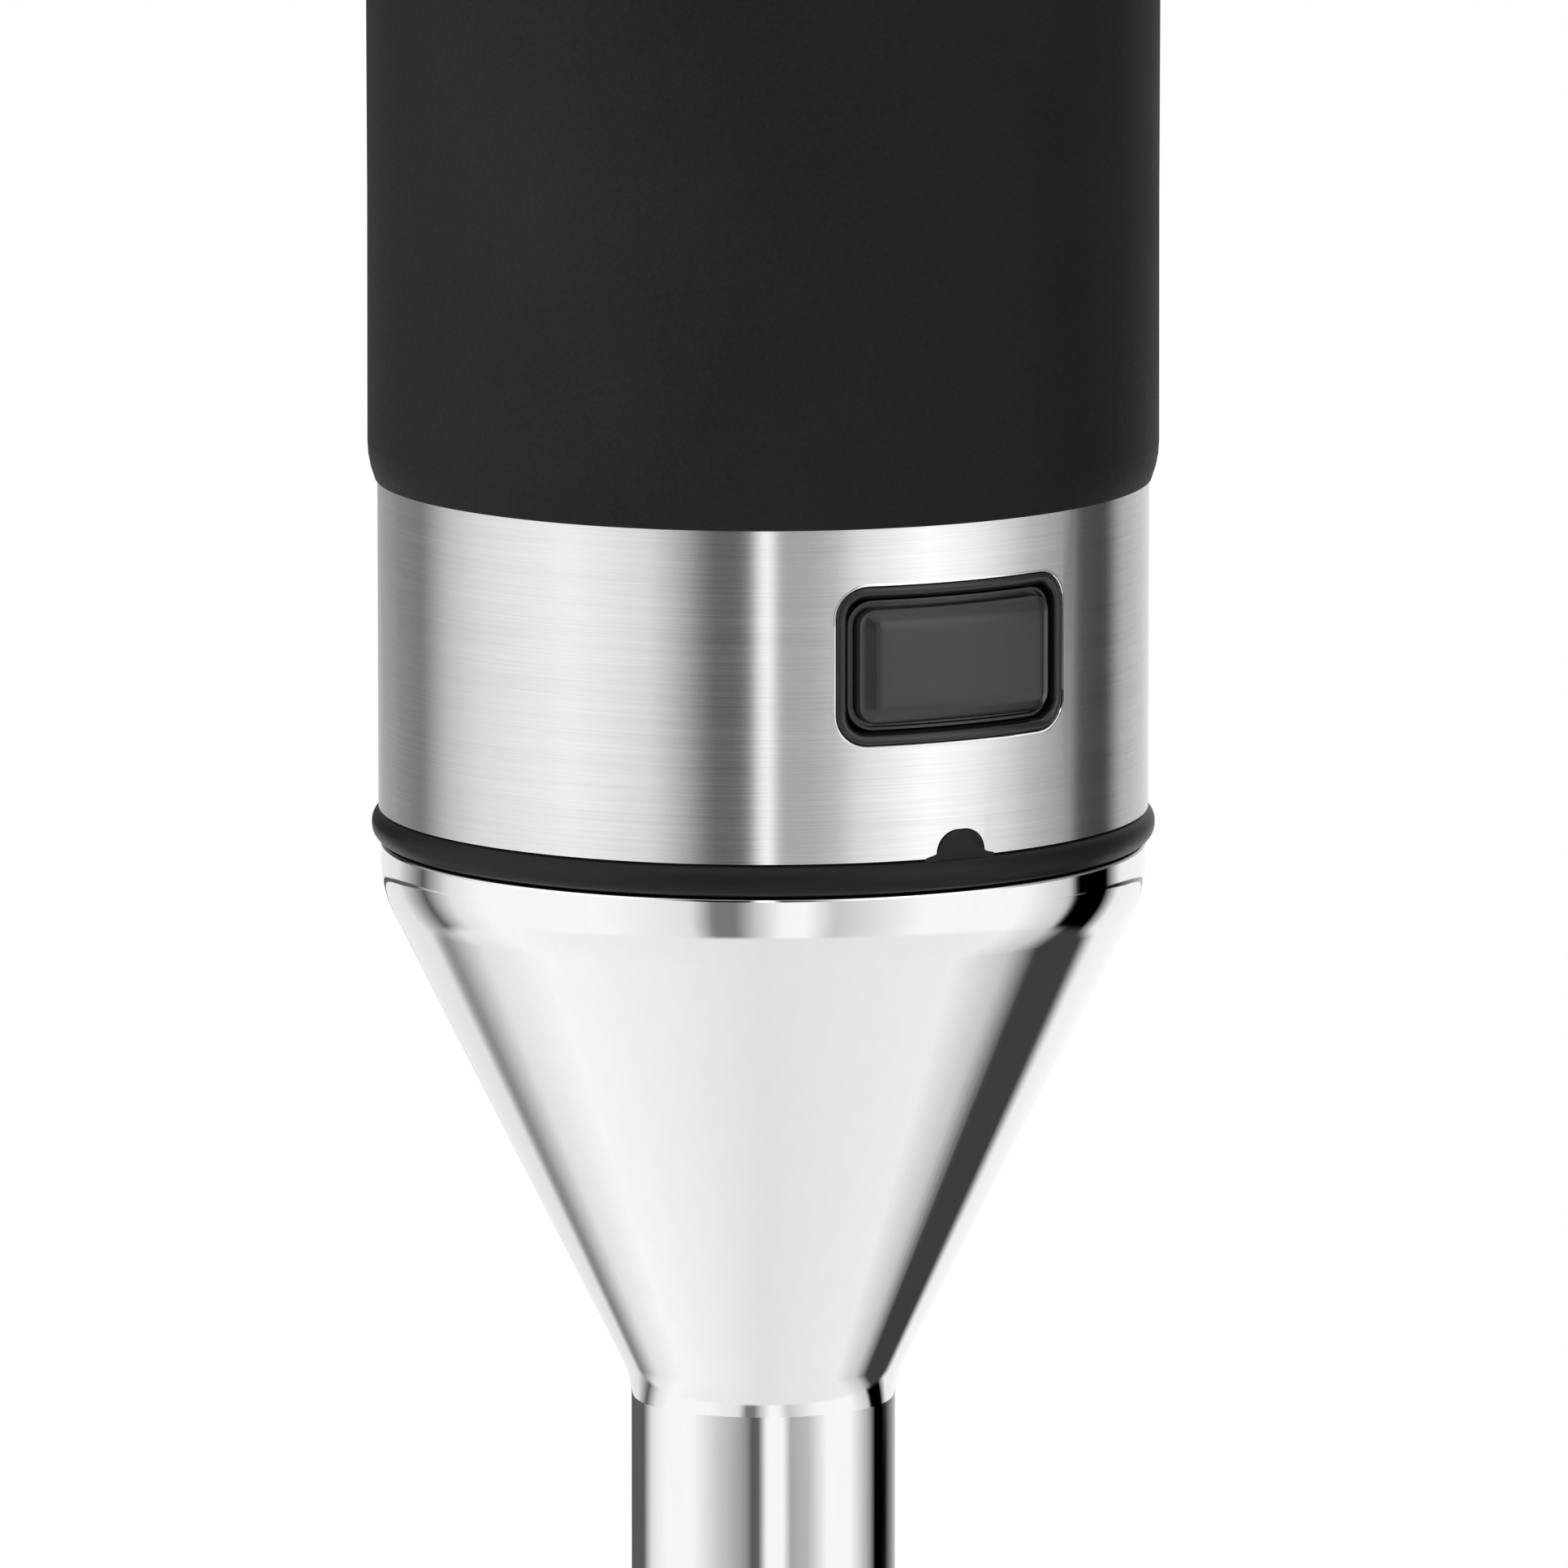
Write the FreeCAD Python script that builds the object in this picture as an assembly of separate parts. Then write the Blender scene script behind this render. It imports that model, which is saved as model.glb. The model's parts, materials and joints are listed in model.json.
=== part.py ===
import FreeCAD, Part
import math
import os
from FreeCAD import Vector

# Immersion blender, standing on the rim of its blade guard. Millimetres.
# +Z runs up the shaft, the origin is the centre of the guard's rim, and the release button and the two
# switches face -Y. The motor unit is everything above the seal ring; the foot below it pulls off downwards.

# ---------------------------------------------------------------- clearances
FIT = 0.05          # pieces that are fixed together
RUN = 0.03          # shaft in a bush, on the radius
SLIDE = 0.15        # buttons in their openings
PLAY = 0.3          # moving pieces that pass each other
SEAM = 0.1          # faces that part when the foot comes off

# ---------------------------------------------------------------- foot sizes
GUARD_RADIUS = 32.0
GUARD_SHEET = 0.9
GUARD_SKIRT = 11.0          # straight height above the rim
GUARD_SHOULDER = 20.0       # radius of the shoulder curve
GUARD_NECK = 10.0           # radius of the curve into the tube
GUARD_SLOPE = 58.0          # degrees turned by each curve
NOTCH_WIDTH = 15.0          # arched notches in the rim
NOTCH_HEIGHT = 7.5
NOTCH_COUNT = 4
TUBE_RADIUS = 11.0
TUBE_SHEET = 0.9
TUBE_LENGTH = 112.9
CONE_ANGLE = 26.6           # degrees from the axis
CONE_SHEET = 0.9
CONE_LIP = 4.0              # straight height below the cone
CONE_FOOT_BEND = 6.5
CONE_TOP_BEND = 9.0
BAND_HEIGHT = 3.88          # band above the cone, with its bend
BAND_RIM = 0.2              # rounding of the band's upper edge
BAND_STEP = 0.2             # the band is this much smaller than the collar
SHAFT_RADIUS = 3.0
BLADE_HEIGHT = 13.0         # underside of the blade's middle
BLADE_SPAN = 24.5
BLADE_THICKNESS = 1.6
BLADE_WIDTH = 13.0
BLADE_LIFT = 20.0           # degrees, wing that is bent up
BLADE_DROP = 15.0           # degrees, wing that is bent down
BUSH_WALL = 2.45

# ---------------------------------------------------------------- collar and socket sizes
COLLAR_RADIUS = 32.0
COLLAR_SHEET = 0.9
COLLAR_HEIGHT = 27.6        # what shows below the grip
COLLAR_TUCK = 2.0           # what is hidden inside the grip
SEAL_HEIGHT = 2.8
SEAL_BULGE = 0.55
LINER_WALL = 1.7
SOCKET_WALL = 1.4
SOCKET_GAP = 0.95           # between the liner's two walls
ROOF_DROP = 4.6             # underside of the socket's roof, below the grip's lower edge
ROOF_WALL = 2.4
LATCH_ROOM = 4.8            # between the socket's inner wall and the roof
PLUG_GAP = 0.4              # foot plug in the socket
PLUG_WALL = 2.2
PLUG_DROP = 2.2             # top of the plug, below the top of the socket's inner wall
MARK_WIDTH = 4.6            # half-round alignment mark
MARK_HEIGHT = 2.3

# ---------------------------------------------------------------- release button sizes
WINDOW_WIDTH = 21.7
WINDOW_HEIGHT = 13.3
WINDOW_CORNER = 2.6
WINDOW_DROP = 11.4          # centre below the grip's lower edge
BEZEL_RIM = 1.1
BUTTON_GAP = 0.7            # recess between the rim and the raised pad
BUTTON_PROUD = 0.6
BUTTON_CHAMFER = 0.95
RELEASE_TRAVEL = 2.3
LATCH_THICKNESS = 2.4

# ---------------------------------------------------------------- grip sizes
GRIP_STEP = 0.8             # waist stands this much outside the collar
GRIP_FLARE = 1.2            # growth of the radius from the waist to the top
GRIP_LENGTH = 128.4
GRIP_WAIST = 22.0           # height of the waist above the grip's lower edge
GRIP_WALL = 2.4
CHASSIS_WALL = 1.8
TRIM_HEIGHT = 6.0
CAP_HEIGHT = 10.0
CAP_WALL = 2.2
CAP_SHOULDER = 6.0
DIAL_RADIUS = 17.0
DIAL_HEIGHT = 17.0
DIAL_RIBS = 24
CORD_RADIUS = 3.6           # bore for a 7 mm mains cord
GLAND_WALL = 1.4
GLAND_RIM = 1.8             # flange outside the gland's wall
GLAND_MARGIN = 5.7          # from the gland's flange to the edge of the cap
DIAL_MARGIN = 2.9           # from the dial's pocket to the gland's boss

# ---------------------------------------------------------------- switch sizes
FRAME_DROP = 27.0           # centre of the frame below the grip's upper edge
FRAME_SIDE = 3.0            # steel beside the buttons
FRAME_END = 5.0             # steel above and below them
KEY_WIDTH = 13.0
KEY_LENGTH = 15.5
KEY_GAP = 3.0
KEY_CORNER = 5.0
KEY_TRAVEL = 1.5
KEY_PROUD = 0.9

# ---------------------------------------------------------------- motor sizes
DAMPER_WALL = 1.5
BRACKET_WALL = 5.8
COIL_CLEARANCE = 2.0
ROTOR_RADIUS = 14.7
AIR_GAP = 0.5
FAN_HEIGHT = 8.5
COMMUTATOR_RADIUS = 9.5
COMMUTATOR_LENGTH = 11.0

FAR = 60.0                  # reach of cutting prisms, beyond any wall


# ================================================================ small tools
def rounded_wire(corners, place):
    """Closed wire through corners (a, b, radius), laid in space by place(a, b)."""
    points = [Vector(a, b, 0) for a, b, _ in corners]
    count = len(corners)
    starts = []
    edges = []
    for i, (_, _, radius) in enumerate(corners):
        here = points[i]
        into = (here - points[i - 1]).normalize()
        out = (points[(i + 1) % count] - here).normalize()
        if not radius:
            starts.append((here, here, None))
            continue
        turn = into.getAngle(out)
        reach = radius * math.tan(turn / 2)
        first = here - into * reach
        last = here + out * reach
        inward = (out - into).normalize()
        middle = here + inward * (radius / math.cos(turn / 2) - radius)
        starts.append((first, last, middle))
    for i, (first, last, middle) in enumerate(starts):
        following = starts[(i + 1) % count][0]
        if middle is not None:
            ends = [place(p.x, p.y) for p in (first, middle, last)]
            edges.append(Part.Arc(*ends).toShape())
        if (following - last).Length > 1e-6:
            edges.append(Part.LineSegment(place(last.x, last.y), place(following.x, following.y)).toShape())
    return Part.Wire(edges)


def lathe(*corners):
    """Solid of revolution about Z from corners (r, z) or (r, z, corner radius)."""
    full = [(c[0], c[1], c[2] if len(c) > 2 else 0) for c in corners]
    wire = rounded_wire(full, lambda r, z: Vector(r, 0, z))
    return Part.Face(wire).revolve(Vector(0, 0, 0), Vector(0, 0, 1), 360)


def disc(radius, low, high, x=0.0, y=0.0):
    return Part.makeCylinder(radius, high - low, Vector(x, y, low))


def ring(outer, inner, low, high, x=0.0, y=0.0):
    return disc(outer, low, high, x, y).cut(disc(inner, low - 1, high + 1, x, y))


def box(x0, x1, y0, y1, z0, z1):
    return Part.makeBox(x1 - x0, y1 - y0, z1 - z0, Vector(x0, y0, z0))


def upright_plate(corners, low, high):
    """Prism along Z of an outline with rounded corners in the XY plane."""
    wire = rounded_wire(corners, lambda x, y: Vector(x, y, low))
    return Part.Face(wire).extrude(Vector(0, 0, high - low))


def front_prism(width, height, corner, level, near=0.0, far=FAR):
    """Rounded rectangle in the XZ plane about x = 0 and z = level, reaching from y = -near to y = -far."""
    half = width / 2
    low, high = level - height / 2, level + height / 2
    outline = [(-half, low, corner), (half, low, corner), (half, high, corner), (-half, high, corner)]
    wire = rounded_wire(outline, lambda x, z: Vector(x, -near, z))
    return Part.Face(wire).extrude(Vector(0, near - far, 0))


def side_rod(radius, x, z, y0, y1):
    """Round bar along Y."""
    return Part.makeCylinder(radius, y1 - y0, Vector(x, y0, z), Vector(0, 1, 0))


def hexagon(across, low, high):
    """Hexagonal prism about the axis, across its flats."""
    reach = across / math.sqrt(3)
    turns = [math.radians(60 * i) for i in range(6)]
    corners = [(reach * math.cos(turn), reach * math.sin(turn), 0) for turn in turns]
    return upright_plate(corners, low, high)


def spin_copies(shape, count, first=0.0):
    """Copies of a shape at even angles about Z."""
    copies = []
    for i in range(count):
        copy = shape.copy()
        copy.rotate(Vector(0, 0, 0), Vector(0, 0, 1), first + i * 360.0 / count)
        copies.append(copy)
    return copies


def joined(*shapes):
    """One clean solid from touching shapes."""
    return shapes[0].multiFuse(list(shapes[1:])).removeSplitter()


def screw(head_radius, head_height, shank_radius, length):
    """Pan-head screw pointing up +Z, the underside of its head at the origin, with a cross recess."""
    slot = head_radius * 1.1
    width = head_radius * 0.14
    depth = head_height * 0.55
    head = Part.makeCylinder(head_radius, head_height, Vector(0, 0, -head_height))
    head = head.makeFillet(head_height * 0.4, [e for e in head.Edges if e.BoundBox.ZMax < -head_height * 0.9])
    body = joined(head, disc(shank_radius, -0.1, length))
    top = -head_height - 0.1
    bars = [box(-slot / 2, slot / 2, -width, width, top, top + depth),
            box(-width, width, -slot / 2, slot / 2, top, top + depth)]
    return body.cut(bars[0].fuse(bars[1]))


def coil_spring(mean_radius, wire_radius, length, turns):
    """Coil spring along +Z from the origin, its wire inside the given length."""
    rise = length - 2 * wire_radius
    helix = Part.makeHelix(rise / turns, rise, mean_radius)
    section = Part.Wire(Part.makeCircle(wire_radius, Vector(mean_radius, 0, 0), Vector(0, 1, 0)))
    spring = Part.Wire(helix.Edges).makePipeShell([section], True, True)
    spring.translate(Vector(0, 0, wire_radius))
    return spring


def lay_along_y(shape, x, y, z):
    """Turns a shape that points up +Z so that it points along +Y from (x, y, z)."""
    shape.rotate(Vector(0, 0, 0), Vector(1, 0, 0), -90)
    shape.translate(Vector(x, y, z))
    return shape


def lead(radius, points):
    """Round wire along straight runs joined by tangent arcs, each arc as large as its two runs allow."""
    edges = []
    last = points[0]
    for before, here, after in zip(points, points[1:], points[2:]):
        into = (here - before).normalize()
        out = (after - here).normalize()
        turn = into.getAngle(out)
        reach = 0.45 * min((here - before).Length, (after - here).Length)
        bend = reach / math.tan(turn / 2)
        inward = (out - into).normalize()
        first, end = here - into * reach, here + out * reach
        middle = here + inward * (bend / math.cos(turn / 2) - bend)
        edges += [Part.LineSegment(last, first).toShape(), Part.Arc(first, middle, end).toShape()]
        last = end
    edges.append(Part.LineSegment(last, points[-1]).toShape())
    section = Part.Wire(Part.makeCircle(radius, points[0], points[1] - points[0]))
    return Part.Wire(edges).makePipeShell([section], True, True)


def moved(shape, x=0.0, y=0.0, z=0.0):
    shape.translate(Vector(x, y, z))
    return shape


def write(name, shape):
    shape.exportStep("parts/%s.step" % name)


# ================================================================ heights that follow from the sizes
slope = math.radians(GUARD_SLOPE)
shoulder_end_r = GUARD_RADIUS - GUARD_SHOULDER * (1 - math.cos(slope))
shoulder_end_z = GUARD_SKIRT + GUARD_SHOULDER * math.sin(slope)
neck_start_r = TUBE_RADIUS + GUARD_NECK * (1 - math.cos(slope))
neck_start_z = shoulder_end_z + (shoulder_end_r - neck_start_r) / math.tan(slope)
guard_top = neck_start_z + GUARD_NECK * math.sin(slope)

cone_foot = guard_top + TUBE_LENGTH
cone_low = cone_foot + CONE_LIP
band_radius = COLLAR_RADIUS - BAND_STEP
cone_slope = math.radians(CONE_ANGLE)
cone_high = cone_low + (band_radius - TUBE_RADIUS) / math.tan(cone_slope)
cone_top = cone_high + BAND_HEIGHT

seal_low = cone_top + SEAM
collar_low = seal_low + SEAL_HEIGHT
collar_high = collar_low + COLLAR_HEIGHT
roof_low = collar_high - ROOF_DROP
roof_high = roof_low + ROOF_WALL
socket_top = roof_low - LATCH_ROOM
chassis_low = roof_high + SEAM
grip_high = collar_high + GRIP_LENGTH
trim_high = grip_high + TRIM_HEIGHT
cap_high = trim_high + CAP_HEIGHT

liner_radius = COLLAR_RADIUS - COLLAR_SHEET - FIT
liner_inner = liner_radius - LINER_WALL
socket_outer = liner_inner - SOCKET_GAP
socket_radius = socket_outer - SOCKET_WALL
plug_radius = socket_radius - PLUG_GAP
plug_inner = plug_radius - PLUG_WALL
plug_top = socket_top - PLUG_DROP

waist_radius = COLLAR_RADIUS + GRIP_STEP
waist_level = collar_high + GRIP_WAIST
top_radius = waist_radius + GRIP_FLARE
grip_inner = waist_radius - GRIP_WALL
chassis_radius = grip_inner - 4 * FIT
chassis_inner = chassis_radius - CHASSIS_WALL
motor_radius = chassis_inner - DAMPER_WALL - 2 * FIT
bracket_inner = motor_radius - BRACKET_WALL
coil_outer = bracket_inner - COIL_CLEARANCE
bore_radius = ROTOR_RADIUS + AIR_GAP
coil_inner = bore_radius + AIR_GAP

# motor levels, from its lower bearing boss up
CHASSIS_FLOOR = 1.5
BOSS_HEIGHT = 6.5
PLATE = 3.0
motor_low = chassis_low + CHASSIS_FLOOR + 0.4
lower_plate_high = motor_low + BOSS_HEIGHT
fan_low = lower_plate_high + 1.5
fan_high = fan_low + FAN_HEIGHT
coil_low = fan_high + 2.2
COIL_TURN = 5.0
stack_low = coil_low + COIL_TURN

# and from the board down; the stack fills what is left between them
BOARD_MARGIN = 3.4          # board beyond the two switch buttons
board_length = 2 * KEY_LENGTH + KEY_GAP + BOARD_MARGIN
chassis_high = grip_high - 5.5
board_high = chassis_high - 0.5
board_low = board_high - board_length
motor_high = board_low - 2.5
upper_plate_high = motor_high - 3.0
upper_plate_low = upper_plate_high - PLATE
commutator_high = upper_plate_low - 4.0
commutator_low = commutator_high - COMMUTATOR_LENGTH
coil_high = commutator_low - 3.0
stack_high = coil_high - COIL_TURN

BOSS_RADIUS = 8.0
bearing_radius = SHAFT_RADIUS + 2.0
BOLT_RADIUS = 1.5
bolt_circle = (motor_radius + bracket_inner) / 2


def grip_radius_at(level):
    """Radius of the grip's outer curve: an arc upright at the waist and fullest at the top."""
    span = grip_high - waist_level
    curve = (span ** 2 + GRIP_FLARE ** 2) / (2 * GRIP_FLARE)
    return waist_radius + curve - math.sqrt(curve ** 2 - (level - waist_level) ** 2)


def grip_arc(low, high, offset=0.0):
    """Edge of the grip's outer curve between two heights."""
    levels = (low, (low + high) / 2, high)
    return Part.Arc(*[Vector(grip_radius_at(z) + offset, 0, z) for z in levels]).toShape()


def grip_core(offset, low, high):
    """Solid that fills the grip's outer curve between two heights."""
    outer = grip_arc(low, high, offset)
    bottom, top = outer.Vertexes[0].Point, outer.Vertexes[-1].Point
    corners = [top, Vector(0, 0, high), Vector(0, 0, low), bottom]
    sides = [Part.LineSegment(a, b).toShape() for a, b in zip(corners, corners[1:])]
    face = Part.Face(Part.Wire([outer] + sides))
    return face.revolve(Vector(0, 0, 0), Vector(0, 0, 1), 360)


# ================================================================ foot: steel shell
def guard_outline(inset):
    """Corners of one skin of the guard, from the rim up to the tube."""
    corner_z = GUARD_SKIRT + GUARD_SHOULDER * math.tan(slope / 2)
    neck_z = guard_top - GUARD_NECK * math.tan(slope / 2)
    shift = inset * math.tan(slope / 2)
    return [(GUARD_RADIUS - inset, corner_z - shift, GUARD_SHOULDER - inset),
            (TUBE_RADIUS - inset, neck_z - shift, GUARD_NECK + inset)]


def blade_guard():
    """Bell pressed from sheet, with arched notches round its rim."""
    outer = guard_outline(0.0)
    inner = guard_outline(GUARD_SHEET)
    bell = lathe((GUARD_RADIUS - GUARD_SHEET, 0), (GUARD_RADIUS, 0), *outer, (TUBE_RADIUS, guard_top),
                 (TUBE_RADIUS - GUARD_SHEET, guard_top), *reversed(inner))
    arch = front_prism(NOTCH_WIDTH, 2 * NOTCH_HEIGHT, NOTCH_HEIGHT * 0.8, 0.0)
    return bell.cut(spin_copies(arch, NOTCH_COUNT))


def foot_tube():
    return ring(TUBE_RADIUS, TUBE_RADIUS - TUBE_SHEET, guard_top, cone_foot)


def foot_cone():
    """Spun funnel from the tube up to the band that meets the seal."""
    turn = math.tan(cone_slope / 2) * CONE_SHEET
    wall = CONE_SHEET
    return lathe((TUBE_RADIUS - wall, cone_foot), (TUBE_RADIUS, cone_foot),
                 (TUBE_RADIUS, cone_low, CONE_FOOT_BEND), (band_radius, cone_high, CONE_TOP_BEND),
                 (band_radius, cone_top, BAND_RIM), (band_radius - wall, cone_top),
                 (band_radius - wall, cone_high + turn, CONE_TOP_BEND - wall),
                 (TUBE_RADIUS - wall, cone_low + turn, CONE_FOOT_BEND + wall))


# ================================================================ foot: plug, bearings and seals
TOWER_RADIUS = 9.0
TOWER_DEPTH = 16.0
FLANGE = 2.5
SKIRT_WALL = 1.8
SKIRT_DROP = 9.0
bush_radius = SHAFT_RADIUS + BUSH_WALL
tower_low = cone_top - TOWER_DEPTH
BUSH_LENGTH = 14.0
bush_high = cone_top + 1.0
CATCH_WIDTH = 9.4
CATCH_HEIGHT = 4.2
catch_level = plug_top - 7.5


def foot_plug():
    """Moulding that closes the cone, carries the upper bush and pushes up into the motor unit's socket."""
    inset = CONE_SHEET + 3 * FIT
    skin = band_radius - inset
    corner_z = cone_high + inset * math.tan(cone_slope / 2)
    foot_r = skin - SKIRT_DROP * math.tan(cone_slope)
    foot_z = corner_z - SKIRT_DROP
    inner_r = skin - (corner_z - cone_top + FLANGE) * math.tan(cone_slope) - SKIRT_WALL
    body = lathe((TOWER_RADIUS, tower_low), (TOWER_RADIUS, cone_top - FLANGE), (inner_r, cone_top - FLANGE),
                 (foot_r - SKIRT_WALL, foot_z), (foot_r, foot_z), (skin, corner_z, CONE_TOP_BEND - inset),
                 (skin, cone_top),
                 (plug_radius, cone_top), (plug_radius, plug_top, 0.8), (plug_inner, plug_top, 0.4),
                 (plug_inner, cone_top), (TOWER_RADIUS, cone_top), (TOWER_RADIUS, bush_high + 1),
                 (bush_radius + FIT, bush_high + 1), (bush_radius + FIT, tower_low))
    catch = front_prism(CATCH_WIDTH, CATCH_HEIGHT, 0.6, catch_level)
    return body.cut(catch)


def bush(low, high):
    return ring(bush_radius, SHAFT_RADIUS + RUN, low, high)


CARRIER_NOSE = 9.0
CARRIER_DROP = 16.0
CARRIER_RISE = 19.0
SEAL_POCKET = 4.5
carrier_low = guard_top - CARRIER_DROP
carrier_high = guard_top + CARRIER_RISE
lip_radius = SHAFT_RADIUS + 3.5


def bearing_carrier():
    """Moulding in the lower end of the tube, with a rounded nose inside the guard."""
    snug = TUBE_RADIUS - TUBE_SHEET - FIT
    pocket = carrier_low + SEAL_POCKET
    return lathe((lip_radius + FIT, carrier_low), (CARRIER_NOSE, carrier_low, 1.2), (CARRIER_NOSE, guard_top),
                 (snug, guard_top), (snug, carrier_high), (bush_radius + FIT, carrier_high),
                 (bush_radius + FIT, pocket), (lip_radius + FIT, pocket))


def shaft_seal():
    """Rubber lip seal below the lower bush."""
    low, high = carrier_low + 0.3, carrier_low + SEAL_POCKET - FIT
    return lathe((SHAFT_RADIUS + 1.6, low), (lip_radius, low), (lip_radius, high), (SHAFT_RADIUS + 1.6, high),
                 (SHAFT_RADIUS + RUN, high - 1.2), (SHAFT_RADIUS + RUN, low + 1.2))


# ================================================================ foot: what spins
HUB_RADIUS = 5.2
COUPLING_FLATS = 10.0
COUPLING_LENGTH = 11.0
coupling_low = bush_high + 2.0
coupling_high = coupling_low + COUPLING_LENGTH
blade_high = BLADE_HEIGHT + BLADE_THICKNESS
THREAD_DROP = 3.2           # threaded end of the shaft below the blade
SHAFT_GRIP = 8.0            # length of shaft inside the coupling
PRESS = 0.01                # pieces pressed on a shaft
neck_radius = SHAFT_RADIUS - 0.5
FREE = 0.8                  # moving hub below the seal


def drive_shaft():
    """Steel shaft from the blade nut to the coupling, with its lower end turned down for the blade."""
    low, high = BLADE_HEIGHT - THREAD_DROP, coupling_low + SHAFT_GRIP
    return lathe((0, low), (neck_radius, low), (neck_radius, blade_high), (SHAFT_RADIUS, blade_high),
                 (SHAFT_RADIUS, high), (0, high))


def foot_coupling():
    """Hexagonal driver with a chamfered nose, moulded on the top of the shaft."""
    body = hexagon(COUPLING_FLATS, coupling_low, coupling_high)
    nose = lathe((0, coupling_low), (COUPLING_FLATS, coupling_low), (COUPLING_FLATS, coupling_high - 5.6),
                 (COUPLING_FLATS / 2 - 1.2, coupling_high), (0, coupling_high))
    return body.common(nose).cut(disc(SHAFT_RADIUS + PRESS, coupling_low - 1, coupling_low + SHAFT_GRIP))


def blade_hub():
    """Steel collar between the seal and the blade."""
    bore, rim, high = SHAFT_RADIUS + PRESS, HUB_RADIUS + 1.6, carrier_low - FREE
    return lathe((bore, blade_high), (rim, blade_high), (rim, blade_high + 1.2),
                 (HUB_RADIUS, blade_high + 2.2), (HUB_RADIUS, high), (bore, high))


def blade_wing(angle):
    """One cranked wing: a flat root, a bend and a tapered tip with a ground edge."""
    root = HUB_RADIUS + 3.0
    half = BLADE_WIDTH / 2
    tip = half * 0.55
    flat = box(-0.5, root, -half, half, 0, BLADE_THICKNESS)
    reach = BLADE_SPAN - root
    outline = [(0, -half, 0), (reach, -tip, 2.0), (reach, tip, 2.0), (0, half, 0)]
    wing = upright_plate(outline, 0, BLADE_THICKNESS)
    edge = Part.Face(Part.makePolygon([Vector(-1, -half - 1, -0.1), Vector(-1, -half + 2.6, -0.1),
                                       Vector(-1, -half - 1, BLADE_THICKNESS + 0.4),
                                       Vector(-1, -half - 1, -0.1)])).extrude(Vector(reach + 3, 0, 0))
    lean = math.degrees(math.atan2(half - tip, reach))
    edge.rotate(Vector(0, -half, 0), Vector(0, 0, 1), lean)
    wing = wing.cut(edge)
    wing.rotate(Vector(0, 0, 0), Vector(0, 1, 0), -angle)
    drop = 0.0 if angle > 0 else BLADE_THICKNESS * (1 - math.cos(math.radians(angle)))
    wing.translate(Vector(root - 0.25, 0, drop))
    return joined(flat, wing)


def blade():
    """Two-wing blade, one wing bent up and the other down."""
    up = blade_wing(BLADE_LIFT)
    down = blade_wing(-BLADE_DROP)
    down.rotate(Vector(0, 0, 0), Vector(0, 0, 1), 180)
    whole = joined(up, down, disc(HUB_RADIUS + 2.4, 0, BLADE_THICKNESS))
    whole = whole.cut(disc(neck_radius + PRESS, -2, BLADE_THICKNESS + 2))
    return moved(whole, z=BLADE_HEIGHT)


def blade_nut():
    """Domed nut under the blade."""
    low = BLADE_HEIGHT - 4.0
    nut = lathe((0, low), (HUB_RADIUS - 0.2, low, 1.4), (HUB_RADIUS - 0.2, BLADE_HEIGHT), (0, BLADE_HEIGHT))
    return nut.cut(disc(neck_radius + PRESS, low + 0.75, BLADE_HEIGHT + 1))


# ================================================================ collar, seal and socket
window_z = collar_high - WINDOW_DROP
mark_depth = 0.15


def mark_prism(gap):
    """Half-round tab with a flat foot, standing on the collar's lower edge."""
    half = MARK_WIDTH / 2 - gap
    high = collar_low + MARK_HEIGHT - gap
    corner = half * 0.85
    low = collar_low - 1
    outline = [(-half, low, 0), (half, low, 0), (half, high, corner), (-half, high, corner)]
    wire = rounded_wire(outline, lambda x, z: Vector(x, 0, z))
    return Part.Face(wire).extrude(Vector(0, -FAR, 0))


def collar_ring():
    """Brushed steel sleeve with the button's window and the alignment notch."""
    shell = ring(COLLAR_RADIUS, COLLAR_RADIUS - COLLAR_SHEET, collar_low, collar_high + COLLAR_TUCK)
    window = front_prism(WINDOW_WIDTH, WINDOW_HEIGHT, WINDOW_CORNER, window_z)
    return shell.cut([window, mark_prism(0.0)])


RAIL_IN, RAIL_OUT = 19.5, 23.5
SCREW_CIRCLE = 17.5
SCREW_TURN = 60.0           # puts one collar screw at the front and two behind the axis
roof_hole = BOSS_RADIUS + 2.5
plate_low = socket_top + PLAY
plate_high = plate_low + LATCH_THICKNESS
FLANGE_RIM = 1.2
TIE_HEIGHT, TIE_WALL = 1.2, 1.2


def tie_groove(gap):
    """Ring that ties the seal to the liner's lower end."""
    high = collar_low + TIE_HEIGHT + gap
    return ring(liner_inner + TIE_WALL + gap, liner_inner - gap, collar_low - 0.2, high)


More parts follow.
